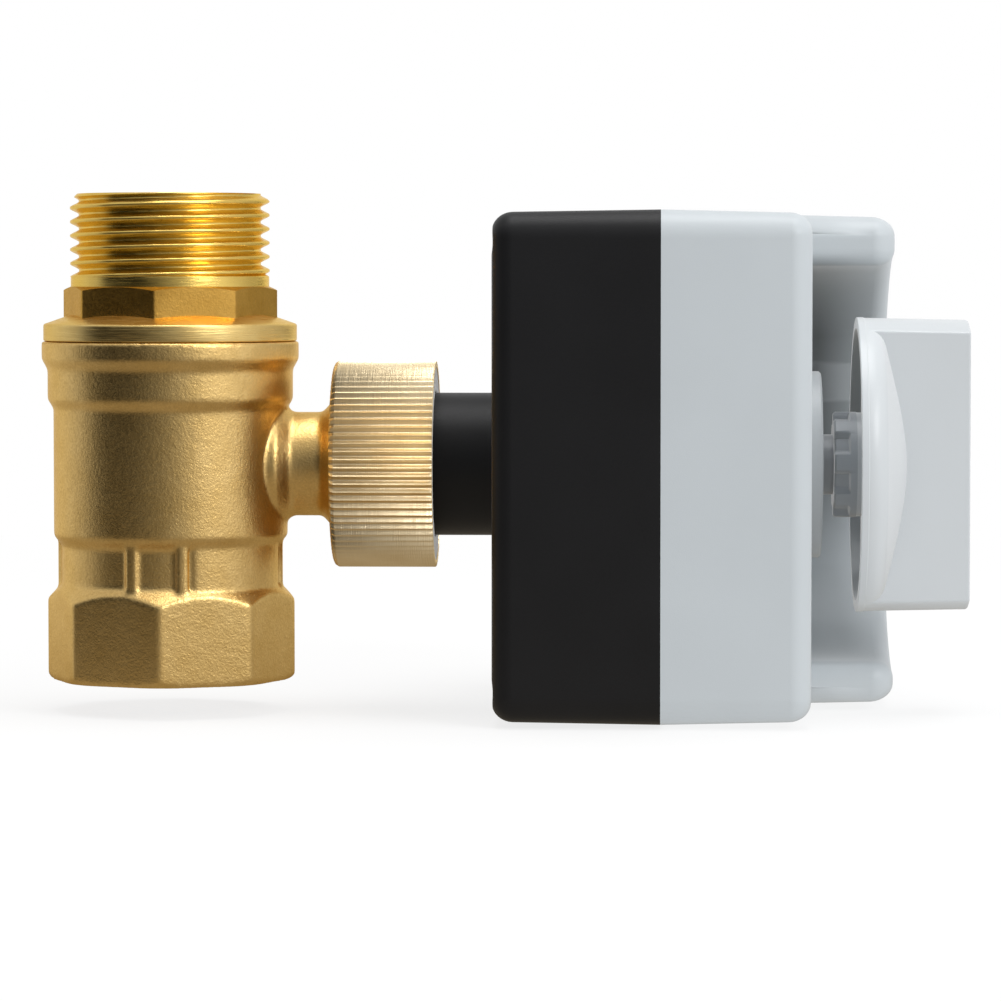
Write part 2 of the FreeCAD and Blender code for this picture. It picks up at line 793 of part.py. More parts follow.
cover_screw_places = [
    (-s.box_near + s.cover_screw_inset, box_low + s.cover_screw_inset),
    (s.box_far - s.cover_screw_inset, box_low + s.cover_screw_inset),
    (s.box_far - s.cover_screw_inset, box_high - s.cover_screw_inset),
    (-s.box_near + s.cover_screw_inset, box_high - s.cover_screw_inset),
]
pillar_places = [
    (s.pillar_near_edge - plate_near, axis_z - pillar_reach),
    (s.pillar_near_edge - plate_near, axis_z + pillar_reach),
    (plate_far - s.pillar_far_edge, axis_z + pillar_reach),
    (s.pillar_foot, axis_z - plate_half_height + s.pillar_foot_edge),
]


def along_the_stem(edge, middle, tangent):
    """Edges of the box that run between its ends."""
    return abs(tangent.x) > 0.9


def round_the_recess(edge, middle, tangent):
    """The edge where the raised face meets the round recess."""
    away = math.hypot(middle.y, middle.z - axis_z.number)
    at_face = abs(middle.x - cover_high.number) < s.fit_gap.number
    return at_face and abs(away - s.recess_radius.number) < s.part_gap.number


def box_ends(level):
    """A test for the edges of the box in one plane square to the stem."""
    def wanted(edge, middle, tangent):
        flat = edge.BoundBox.XLength < s.fit_gap.number
        return flat and abs(middle.x - level.number) < s.fit_gap.number
    return wanted


def make_base_housing():
    """The black half: floor, walls, neck with its flange, posts and bearing bore."""
    body = document.addObject("PartDesign::Body", "base_shell")
    sketch = outline(body, "base_outline", "YZ_Plane",
                     rectangle(-s.box_near, s.box_far, box_low, box_high), (0, 0, parting))
    pad = body.newObject("PartDesign::Pad", "base_pad")
    pad.Profile = sketch
    pad.Reversed = True
    pad.setExpression("Length", (parting - base_start).formula)
    rounded(body, "base_corners", s.box_corner, along_the_stem)
    rounded(body, "base_edges", s.base_edge, box_ends(base_start))
    inside = block("base_inside", (base_floor, parting + s.part_gap), (inner_near, inner_far),
                   (inner_low, inner_high))
    rim = padded("base_rim", "YZ_Plane",
                 rectangle(inner_near - s.gasket_width, inner_far + s.gasket_width,
                           inner_low - s.gasket_width, inner_high + s.gasket_width),
                 parting - s.gasket_height, parting + s.part_gap)
    rounded(rim, "base_rim_corners", s.gasket_corner, along_the_stem)
    rim_core = block("base_rim_core", (base_floor, parting * 2), (inner_near, inner_far),
                     (inner_low, inner_high))
    ledge = cut("base_ledge", rim, rim_core)
    shell = cut("base_hollow", body, inside)
    neck = turned("neck", "X", [
        (neck_x, 0),
        (neck_x, s.neck_flange_radius),
        (slip_ring_x - s.part_gap, s.neck_flange_radius),
        (slip_ring_x - s.part_gap, s.neck_radius),
        (base_start, s.neck_radius),
        (base_floor, s.neck_radius),
        (base_floor, 0),
    ], (0, axis_z))
    posts = []
    holes = []
    for number, (y, z) in enumerate(cover_screw_places):
        posts.append(rod(f"base_post_{number}", "X", base_floor - s.part_gap, parting,
                         s.cover_post_radius, (y, z)))
        holes.append(rod(f"base_screw_hole_{number}", "X", base_start - s.box_wall, parting * 2,
                         s.cover_screw_radius + s.fit_gap, (y, z)))
        holes.append(rod(f"base_head_hole_{number}", "X", base_start - s.box_wall,
                         base_start + s.cover_screw_head_height + s.part_gap,
                         s.cover_screw_head_radius + s.part_gap, (y, z)))
    for number, (y, z) in enumerate(pillar_places):
        posts.append(rod(f"plate_post_{number}", "X", base_floor - s.part_gap, gear_plate_start,
                         s.pillar_radius, (y, z)))
        holes.append(rod(f"pillar_stud_hole_{number}", "X", base_floor, gear_plate_start * 2,
                         plate_hole, (y, z)))
    bearing = rod("base_bearing", "X", 0, parting, bush_radius + s.running_gap, (0, axis_z))
    gland_hole = rod("gland_hole", "Y", inner_far - s.box_wall, s.box_far + s.box_wall,
                     s.gland_radius + s.fit_gap, (gland_along, gland_z))
    solid = fuse("base_solid", shell, neck, *posts)
    keep(cut("base_cut", solid, *holes, bearing, gland_hole, ledge), "base_housing")


def make_cover():
    """The grey half: a low face round the knob and a raised part with a round recess."""
    low = padded("cover_low_block", "YZ_Plane", rectangle(-s.box_near, s.box_far, box_low, box_high),
                 parting, cover_low)
    rounded(low, "cover_low_corners", s.box_corner, along_the_stem)
    rounded(low, "cover_low_edges", s.cover_edge, box_ends(cover_low))
    high = padded("cover_high_block", "YZ_Plane",
                  rectangle(-s.raised_near, s.box_far, box_low, box_high),
                  parting, cover_high)
    rounded(high, "cover_high_corners", s.box_corner, along_the_stem)
    rounded(high, "cover_high_edges", s.raised_edge, box_ends(cover_high))
    turn_in(high, "recess", "X", [
        (parting - s.box_wall, 0), (parting - s.box_wall, s.recess_radius),
        (cover_high * 2, s.recess_radius), (cover_high * 2, 0),
    ], (0, axis_z), "Groove")
    rounded(high, "recess_edges", s.recess_edge, round_the_recess)
    inside = block("cover_inside", (parting - s.part_gap, cover_floor), (inner_near, inner_far),
                   (inner_low, inner_high))
    high_block = block("cover_high_room", (parting, cover_high - s.box_wall),
                       (-s.raised_near + s.box_wall, inner_far - s.box_wall / 2),
                       (inner_low + s.box_wall / 2, inner_high - s.box_wall / 2))
    round_wall = rod("recess_wall", "X", parting - s.part_gap, cover_high * 2,
                     s.recess_radius + s.box_wall, (0, axis_z))
    shell = cut("cover_hollow", fuse("cover_blocks", low, high), inside,
                cut("cover_high_inside", high_block, round_wall))
    tube = rod("bearing_tube", "X", shaft_end - s.top_bush_length, cover_floor + s.part_gap,
               top_bush_radius + s.box_wall, (0, axis_z))
    bearing = rod("cover_bearing", "X", parting, cover_floor, top_bush_radius + s.running_gap,
                  (0, axis_z))
    spindle_hole = rod("cover_spindle_hole", "X", parting, cover_high, s.spindle_radius + s.part_gap,
                       (0, axis_z))
    posts = []
    holes = []
    for number, (y, z) in enumerate(cover_screw_places):
        posts.append(rod(f"cover_post_{number}", "X", parting, cover_floor + s.part_gap,
                         s.cover_post_radius, (y, z)))
        holes.append(rod(f"cover_screw_hole_{number}", "X", parting - s.part_gap,
                         base_start + s.cover_screw_length + s.box_wall,
                         s.cover_screw_radius + s.fit_gap, (y, z)))
    solid = fuse("cover_solid", shell, tube, *posts)
    keep(cut("cover_cut", solid, bearing, spindle_hole, *holes), "cover")


def make_box_seals_and_screws():
    """The gasket between the halves and the four screws that draw them together."""
    reach = s.gasket_width - s.fit_gap
    gasket_x = (parting - s.gasket_height, parting)
    outer = padded("gasket_outer", "YZ_Plane",
                   rectangle(inner_near - reach, inner_far + reach, inner_low - reach,
                             inner_high + reach), *gasket_x)
    rounded(outer, "gasket_corners", s.gasket_corner - s.fit_gap, along_the_stem)
    inner = block("gasket_inner", (gasket_x[0] - s.part_gap, gasket_x[1] + s.part_gap),
                  (inner_near, inner_far), (inner_low, inner_high))
    keep(cut("gasket_frame", outer, inner), "cover_gasket")
    screws = []
    head_x = base_start + s.part_gap
    for number, (y, z) in enumerate(cover_screw_places):
        head = rod(f"cover_screw_head_{number}", "X", head_x, head_x + s.cover_screw_head_height,
                   s.cover_screw_head_radius, (y, z))
        shank = rod(f"cover_screw_shank_{number}", "X", head_x, base_start + s.cover_screw_length,
                    s.cover_screw_radius, (y, z))
        slot = s.cover_screw_cross / 2
        cross_y = block(f"cover_screw_cross_y_{number}", (0, head_x + s.cover_screw_head_height / 2),
                        (y - slot, y + slot), (z - s.cover_screw_radius, z + s.cover_screw_radius))
        cross_z = block(f"cover_screw_cross_z_{number}", (0, head_x + s.cover_screw_head_height / 2),
                        (y - s.cover_screw_radius, y + s.cover_screw_radius), (z - slot, z + slot))
        screws.append(cut(f"cover_screw_{number}", fuse(f"cover_screw_blank_{number}", head, shank),
                          cross_y, cross_z))
    keep(group("cover_screw_set", screws), "cover_screws")


def make_plates():
    """Two steel plates that carry the gear train, their pillars and screws."""
    idler_hole = [rod("gear_plate_pin_hole", "X", base_start, parting,
                      s.idler_pin_radius + s.fit_gap, (idler_y, idler_z))]
    for label, start, shaft_hole in (
        ("gear_plate", gear_plate_start, s.shaft_radius + s.part_gap),
        ("motor_plate", motor_plate_x, s.shaft_top_radius + s.part_gap),
    ):
        sheet_metal = block(label + "_sheet", (start, start + s.plate_thickness),
                            (-plate_near, plate_far),
                            (axis_z - plate_half_height, axis_z + plate_half_height))
        holes = [rod(label + "_shaft_hole", "X", base_start, cover_low, shaft_hole, (0, axis_z))]
        for number, (y, z) in enumerate(pillar_places):
            holes.append(rod(f"{label}_hole_{number}", "X", base_start, cover_low, plate_hole, (y, z)))
        if label == "motor_plate":
            holes.append(rod("motor_plate_pinion_hole", "X", base_start, cover_low,
                             s.pinion_bore_radius + s.part_gap, (motor_y, motor_z)))
            holes.append(rod("motor_plate_pin_hole", "X", base_start, cover_low,
                             s.idler_pin_radius + s.fit_gap, (idler_y, idler_z)))
        else:
            holes += idler_hole
        keep(cut(label + "_drilled", sheet_metal, *holes), label)
    pillars = []
    screws = []
    for number, (y, z) in enumerate(pillar_places):
        post = rod(f"pillar_post_{number}", "X", gear_plate_end, motor_plate_x, s.pillar_radius, (y, z))
        stud = rod(f"pillar_stud_{number}", "X", base_floor + s.part_gap, gear_plate_end + s.part_gap,
                   s.plate_screw_radius, (y, z))
        hole = rod(f"pillar_hole_{number}", "X", motor_plate_end - s.plate_screw_length - s.part_gap,
                   motor_plate_end, plate_hole, (y, z))
        pillars.append(cut(f"pillar_{number}", fuse(f"pillar_blank_{number}", post, stud), hole))
        shank = rod(f"plate_screw_shank_{number}", "X", motor_plate_end - s.plate_screw_length,
                    motor_plate_end + s.plate_screw_head_height, s.plate_screw_radius, (y, z))
        head = rod(f"plate_screw_head_{number}", "X", motor_plate_end,
                   motor_plate_end + s.plate_screw_head_height, s.plate_screw_head_radius, (y, z))
        screws.append(fuse(f"plate_screw_{number}", head, shank))
    keep(group("pillar_set", pillars), "plate_pillars")
    keep(group("plate_screw_set", screws), "plate_screws")


output_pitch = s.gear_module * s.output_teeth / 2
pinion_pitch = s.gear_module * s.pinion_teeth / 2
idler_pitch = s.gear_module * s.idler_teeth / 2
idler_y = (output_pitch + pinion_pitch) * cosine(s.idler_angle)
idler_z = axis_z + (output_pitch + pinion_pitch) * sine(s.idler_angle)
motor_y = idler_y + (idler_pitch + pinion_pitch) * cosine(s.pinion_angle)
motor_z = idler_z + (idler_pitch + pinion_pitch) * sine(s.pinion_angle)
output_gear_x = gear_plate_end + s.gear_side_gap
output_gear_end = output_gear_x + s.output_gear_width
idler_wheel_x = output_gear_end + s.gear_side_gap
idler_wheel_end = idler_wheel_x + s.idler_gear_width

PRESSURE_ANGLE = math.radians(20)
ADDENDUM = 0.85
DEDENDUM = 1.2
FLANK_STEPS = 4


def flank_angle(radius, base_radius):
    """How far an involute has turned from its start when it reaches a radius."""
    if radius <= base_radius:
        return 0.0
    reach = math.sqrt((radius / base_radius) ** 2 - 1)
    return reach - math.atan(reach)


def gear(name, teeth, tooth_at, start, end, y, z):
    """A spur gear along the stem axis, with one tooth centred at an angle in degrees."""
    count = int(teeth.number)
    module = s.gear_module.number
    pitch_radius = module * count / 2
    base_radius = pitch_radius * math.cos(PRESSURE_ANGLE)
    tip = pitch_radius + ADDENDUM * module
    foot = pitch_radius - DEDENDUM * module
    half_tooth = math.pi / (2 * count) - s.gear_backlash.number / (2 * pitch_radius)
    half_base = half_tooth + flank_angle(pitch_radius, base_radius)
    low = max(foot, base_radius)
    flank = [(foot, half_base - flank_angle(low, base_radius))]
    for step in range(FLANK_STEPS + 1):
        radius = low + (tip - low) * step / FLANK_STEPS
        flank.append((radius, half_base - flank_angle(radius, base_radius)))
    if foot >= base_radius:
        flank = flank[1:]
    corners = []
    for tooth in range(count):
        middle = math.radians(tooth_at) + 2 * math.pi * tooth / count
        for radius, half in flank:
            corners.append((radius, middle - half))
        for radius, half in reversed(flank):
            corners.append((radius, middle + half))
    points = [FreeCAD.Vector(0, radius * math.cos(angle), radius * math.sin(angle))
              for radius, angle in corners]
    points.append(points[0])
    wheel = document.addObject("Part::Feature", name)
    wheel.Shape = Part.Face(Part.makePolygon(points)).extrude(
        FreeCAD.Vector(end.number - start.number, 0, 0))
    wheel.Placement = FreeCAD.Placement(
        FreeCAD.Vector(start.number, y.number, z.number), FreeCAD.Rotation())
    return wheel


def make_gears():
    """Output gear on the shaft, double idler on its pin, and the motor's pinion."""
    half_turn = 180
    gap_turn = half_turn / s.pinion_teeth.number
    wheel = gear("output_wheel", s.output_teeth, s.idler_angle.number, output_gear_x,
                 output_gear_end, as_size(0), axis_z)
    boss = rod("output_gear_boss", "X", output_gear_x, idler_wheel_end, s.shaft_top_radius + s.bush_wall,
               (0, axis_z))
    bore = rod("output_gear_bore", "X", base_start, cover_low, shaft_seat, (0, axis_z))
    keep(cut("output_gear_bored", fuse("output_gear_blank", wheel, boss), bore), "output_gear")
    small = gear("idler_small", s.pinion_teeth, s.idler_angle.number + half_turn + gap_turn,
                 output_gear_x, idler_wheel_x + s.fit_gap, idler_y, idler_z)
    large = gear("idler_large", s.idler_teeth, s.pinion_angle.number, idler_wheel_x,
                 idler_wheel_end, idler_y, idler_z)
    idler_bore = rod("idler_bore", "X", base_start, cover_low, s.idler_pin_radius + s.running_gap,
                     (idler_y, idler_z))
    keep(cut("idler_bored", fuse("idler_blank", small, large), idler_bore), "idler_gear")
    pin = rod("idler_axle", "X", gear_plate_start, motor_plate_end, s.idler_pin_radius,
              (idler_y, idler_z))
    keep(pin, "idler_pin")
    pinion = gear("pinion_wheel", s.pinion_teeth, s.pinion_angle.number + half_turn + gap_turn,
                  idler_wheel_x, idler_wheel_end, motor_y, motor_z)
    stub = rod("pinion_stub", "X", idler_wheel_x, motor_plate_end, s.pinion_bore_radius,
               (motor_y, motor_z))
    keep(fuse("pinion_on_shaft", pinion, stub), "motor_pinion")


def make_motor():
    """The motor can with its two ears, standing on the motor plate."""
    can = turned("motor_can", "X", [
        (motor_plate_end, s.pinion_bore_radius + s.part_gap),
        (motor_plate_end, s.motor_radius),
        (motor_plate_end + s.motor_height - s.part_gap * 2, s.motor_radius),
        (motor_plate_end + s.motor_height, s.motor_radius - s.part_gap * 2),
        (motor_plate_end + s.motor_height, 0),
        (motor_plate_end + s.part_gap, 0),
        (motor_plate_end + s.part_gap, s.pinion_bore_radius + s.part_gap),
    ], (motor_y, motor_z))
    ears = block("motor_ear_bar", (motor_plate_end, motor_plate_end + s.motor_ear_height),
                 (motor_y - s.motor_ear_reach, motor_y),
                 (motor_z - s.motor_ear_radius, motor_z + s.motor_ear_radius))
    shaft_room = rod("motor_shaft_room", "X", motor_plate_end, motor_plate_end + s.part_gap,
                     s.pinion_bore_radius + s.part_gap, (motor_y, motor_z))
    keep(cut("motor_body", fuse("motor_blank", can, ears), shaft_room), "motor")


shaft_seat = s.shaft_top_radius + s.running_gap / 2
socket_half = s.drive_square / 2 + s.fit_gap
knob_socket_half = s.knob_square / 2 + s.fit_gap
shaft_start = stem_reach + s.part_gap
bush_end = base_floor + s.bush_flange_height
spindle_round_x = shaft_end + s.part_gap
socket_round_x = shaft_end - s.knob_travel - s.part_gap
spindle_foot = socket_round_x - s.knob_travel * 2
screw_head_x = spindle_foot - s.plate_screw_head_height
socket_foot = screw_head_x - s.knob_travel - s.part_gap - s.spring_pressed_length
clip_x = motor_plate_end + s.fit_gap
cam_start = clip_x + s.circlip_height + s.cam_gap
cam_radius = s.shaft_top_radius + s.cam_wall
cam_lobe_radius = cam_radius + s.cam_lobe_rise


def make_output_shaft():
    """The shaft from the stem's square to the knob's square, with its bushes and clip."""
    blank = turned("shaft_blank", "X", [
        (shaft_start, 0),
        (shaft_start, s.shaft_radius),
        (bush_end + s.part_gap, s.shaft_radius),
        (output_gear_x, s.shaft_radius),
        (output_gear_x, s.shaft_top_radius),
        (shaft_end, s.shaft_top_radius),
        (shaft_end, 0),
    ], (0, axis_z))
    socket = block("stem_socket", (shaft_start - s.part_gap, stem_end + s.part_gap),
                   (-socket_half, socket_half), (axis_z - socket_half, axis_z + socket_half))
    knob_socket = block("knob_socket", (socket_foot, shaft_end),
                        (-knob_socket_half, knob_socket_half),
                        (axis_z - knob_socket_half, axis_z + knob_socket_half))
    mouth = rod("knob_socket_mouth", "X", socket_round_x, shaft_end + s.part_gap,
                s.spindle_radius + s.part_gap, (0, axis_z))
    keep(cut("shaft_bored", blank, socket, knob_socket, mouth), "output_shaft")
    bush = turned("neck_bush", "X", [
        (neck_x, s.shaft_radius + s.running_gap),
        (neck_x, bush_radius),
        (base_floor, bush_radius),
        (base_floor, bush_radius + s.bush_flange),
        (bush_end, bush_radius + s.bush_flange),
        (bush_end, s.shaft_radius + s.running_gap),
    ], (0, axis_z))
    keep(bush, "lower_bush")
    top_bush = turned("cover_bush", "X", [
        (shaft_end - s.top_bush_length, s.shaft_top_radius + s.running_gap),
        (shaft_end - s.top_bush_length, top_bush_radius),
        (shaft_end, top_bush_radius),
        (shaft_end, s.shaft_top_radius + s.running_gap),
    ], (0, axis_z))
    keep(top_bush, "upper_bush")
    seal = turned("spindle_ring", "X", [
        (shaft_end + s.part_gap, s.spindle_radius + s.running_gap),
        (shaft_end + s.part_gap, top_bush_radius),
        (cover_floor, top_bush_radius),
        (cover_floor, s.spindle_radius + s.running_gap),
    ], (0, axis_z))
    keep(seal, "spindle_seal")
    clip = turned("shaft_clip", "X", [
        (clip_x, shaft_seat),
        (clip_x, s.shaft_top_radius + s.bush_wall),
        (clip_x + s.circlip_height, s.shaft_top_radius + s.bush_wall),
        (clip_x + s.circlip_height, shaft_seat),
    ], (0, axis_z))
    mouth_cut = block("clip_mouth", (clip_x - s.part_gap, clip_x + s.circlip_height + s.part_gap),
                      (-s.bush_wall, s.bush_wall), (axis_z, axis_z + s.shaft_top_radius * 2))
    keep(cut("shaft_clip_open", clip, mouth_cut), "shaft_circlip")


def make_spring():
    """The spring that holds the knob out, as the sleeve that its coils fill when pressed."""
    sleeve = turned("spring_sleeve", "X", [
        (socket_foot, s.spring_radius - s.spring_wire),
        (socket_foot, s.spring_radius),
        (socket_foot + s.spring_pressed_length, s.spring_radius),
        (socket_foot + s.spring_pressed_length, s.spring_radius - s.spring_wire),
    ], (0, axis_z))
    keep(sleeve, "knob_spring")


def make_cam():
    """Two cam discs in one piece, each with a lobe that works one limit switch."""
    discs = []
    switch_step = s.switch_width + s.switch_gap
    for number in range(2):
        start = cam_start + switch_step * number
        disc = rod(f"cam_disc_{number}", "X", start, start + s.cam_height, cam_radius, (0, axis_z))
        lobe_blank = rod(f"cam_lobe_disc_{number}", "X", start, start + s.cam_height,
                         cam_lobe_radius, (0, axis_z))
        lobe_half = s.cam_lobe_width / 2
        if number == 0:
            lobe_box = block("cam_lobe_box_0", (start, start + s.cam_height), (-lobe_half, lobe_half),
                             (axis_z - cam_radius * 2, axis_z))
        else:
            lobe_box = block("cam_lobe_box_1", (start, start + s.cam_height), (-cam_radius * 2, 0),
                             (axis_z - lobe_half, axis_z + lobe_half))
        discs += [disc, common(f"cam_lobe_{number}", lobe_blank, lobe_box)]
    spacer = rod("cam_spacer", "X", cam_start, cam_start + switch_step,
                 s.shaft_top_radius + s.part_gap * 2, (0, axis_z))
    bore = rod("cam_bore", "X", parting - s.cam_height, cover_low, shaft_seat, (0, axis_z))
    keep(cut("cam_bored", fuse("cam_blank", *discs, spacer), bore), "switch_cam")


def make_switches():
    """Two snap switches side by side, with their levers and the screws through both."""
    lever_top = axis_z - cam_lobe_radius - s.part_gap
    body_top = lever_top - s.lever_thickness - s.lever_lift
    body_low = body_top - s.switch_height
    screw_places = [
        (-s.switch_near + s.switch_screw_inset, body_low + s.switch_screw_inset),
        (-s.switch_near + s.switch_length - s.switch_screw_inset, body_low + s.switch_screw_inset),
    ]
    levers = []
    for number, label in enumerate(("open_switch", "closed_switch")):
        start = motor_plate_end + s.fit_gap + (s.switch_width + s.switch_gap) * number
        case = block(label + "_case", (start, start + s.switch_width),
                     (-s.switch_near, -s.switch_near + s.switch_length), (body_low, body_top))
        holes = []
        for screw, (y, z) in enumerate(screw_places):
            holes.append(rod(f"{label}_hole_{screw}", "X", start - s.part_gap,
                             start + s.switch_width + s.part_gap, s.switch_screw_radius + s.fit_gap, (y, z)))
        keep(cut(label + "_body", case, *holes), label)
        lever_x = start + (s.switch_width - s.lever_width) / 2
        foot_y = -s.switch_near + s.lever_thickness
        levers.append(padded(f"lever_{number}", "YZ_Plane", [
            (foot_y, body_top),
            (foot_y + s.lever_thickness, body_top),
            (foot_y + s.lever_thickness, lever_top - s.lever_thickness),
            (foot_y + s.lever_reach, lever_top - s.lever_thickness),
            (foot_y + s.lever_reach, lever_top),
            (foot_y, lever_top),
        ], lever_x, lever_x + s.lever_width))
    keep(group("lever_pair", levers), "switch_levers")
    screws = []
    top = motor_plate_end + s.fit_gap + s.switch_width * 2 + s.switch_gap
    for screw, (y, z) in enumerate(screw_places):
        shank = rod(f"switch_screw_shank_{screw}", "X", motor_plate_end, top + s.fit_gap,
                    s.switch_screw_radius, (y, z))
        head = rod(f"switch_screw_head_{screw}", "X", top, top + s.plate_screw_head_height,
                   s.switch_screw_radius * 2, (y, z))
        screws.append(fuse(f"switch_screw_{screw}", head, shank))
    keep(group("switch_screw_pair", screws), "switch_screws")


def make_board():
    """The circuit board on its standoffs, with a terminal block and a capacitor."""
    board_end = board_start + s.board_thickness
    high = axis_z + plate_half_height - s.board_top_edge
    low = high - s.board_width
    inset = s.standoff_radius * 2
    places = [
        (-board_near + inset * 2, low + inset), (board_far - inset, low + inset),
        (-board_near + inset * 2, high - inset), (board_far - inset, high - inset),
    ]
    plate = block("board_sheet", (board_start, board_end), (-board_near, board_far), (low, high))
    holes = []
    standoffs = []
    for number, (y, z) in enumerate(places):
        holes.append(rod(f"board_hole_{number}", "X", parting, cover_low,
                         s.standoff_radius / 2 + s.fit_gap, (y, z)))
        post = rod(f"standoff_post_{number}", "X", motor_plate_end, board_start, s.standoff_radius, (y, z))
        tip = rod(f"standoff_tip_{number}", "X", board_start - s.part_gap, board_end + s.part_gap * 2,
                  s.standoff_radius / 2, (y, z))
        standoffs.append(fuse(f"standoff_{number}", post, tip))
    keep(cut("board_drilled", plate, *holes), "circuit_board")
    keep(group("standoff_set", standoffs), "board_standoffs")
    middle_z = (low + high) / 2
    first_y = -board_near + inset * 4
    case = block("terminal_case", (board_end, board_end + s.terminal_height),
                 (first_y, first_y + s.terminal_length),
                 (middle_z - s.terminal_depth / 2, middle_z + s.terminal_depth / 2))
    pole = s.terminal_length / s.terminal_pole_count
    wells = []
    for number in range(int(s.terminal_pole_count.number)):
        wells.append(rod(f"terminal_well_{number}", "X", board_end + s.terminal_height / 2,
                         board_end + s.terminal_height * 2, s.terminal_well_radius,
                         (first_y + pole * number + pole / 2, middle_z)))
    keep(cut("terminal_cut", case, *wells), "terminal_block")
    capacitor = turned("capacitor_can", "X", [
        (board_end, 0),
        (board_end, s.capacitor_radius),
        (board_end + s.capacitor_height - s.part_gap, s.capacitor_radius),
        (board_end + s.capacitor_height, s.capacitor_radius - s.part_gap),
        (board_end + s.capacitor_height, 0),
    ], (first_y + s.terminal_length + s.capacitor_radius + s.part_gap * 3, middle_z))
    keep(capacitor, "capacitor")


def make_gland():
    """The cable gland: threaded body in the far wall, locknut inside, cap and seal."""
    at = (gland_along, gland_z)
    flange_end = s.box_far + s.gland_flange_height
    cap_end = flange_end + s.gland_cap_height
    lock_start = inner_far - s.gland_locknut_height
    thread_end = flange_end + s.gland_cap_height / 2
    body = turned("gland_stem", "Y", [
        (lock_start - s.part_gap, s.gland_bore_radius),
        (lock_start - s.part_gap, s.gland_radius),
        (s.box_far, s.gland_radius),
        (s.box_far, s.gland_nut_radius),
        (flange_end - s.part_gap, s.gland_nut_radius),
        (flange_end - s.part_gap, s.gland_radius),
        (thread_end, s.gland_radius),
        (thread_end, s.gland_bore_radius),
    ], at)
    keep(body, "gland_body")
    locknut = turned("gland_lock", "Y", [
        (lock_start, s.gland_radius + s.fit_gap),
        (lock_start, s.gland_nut_radius),
        (inner_far, s.gland_nut_radius),
        (inner_far, s.gland_radius + s.fit_gap),
    ], at)
    keep(locknut, "gland_locknut")
    cap = turned("gland_dome", "Y", [
        (flange_end, s.gland_radius + s.fit_gap),
        (flange_end, s.gland_nut_radius),
        (cap_end - s.gland_dome_height, s.gland_nut_radius),
        (cap_end, s.gland_radius),
        (cap_end, s.gland_bore_radius),
        (cap_end - s.box_wall / 2, s.gland_bore_radius),
        (cap_end - s.box_wall, s.gland_radius + s.fit_gap),
    ], at)
    keep(cap, "gland_cap")
    seal = turned("gland_grommet", "Y", [
        (thread_end + s.fit_gap, s.gland_bore_radius),
        (thread_end + s.fit_gap, s.gland_radius),
        (cap_end - s.box_wall - s.fit_gap, s.gland_radius),
        (cap_end - s.box_wall - s.fit_gap, s.gland_bore_radius),
    ], at)
    keep(seal, "gland_seal")


def make_dial():
    """The round disc on the low face that the knob's hub sinks into."""
    disc = turned("dial_blank", "X", [
        (cover_low, s.hub_radius + s.part_gap),
        (cover_low, s.dial_radius),
        (cover_low + s.dial_height - s.part_gap, s.dial_radius),
        (cover_low + s.dial_height, s.dial_radius - s.part_gap),
        (cover_low + s.dial_height, s.hub_radius + s.part_gap),
    ], (0, axis_z))
    keep(disc, "dial_disc")


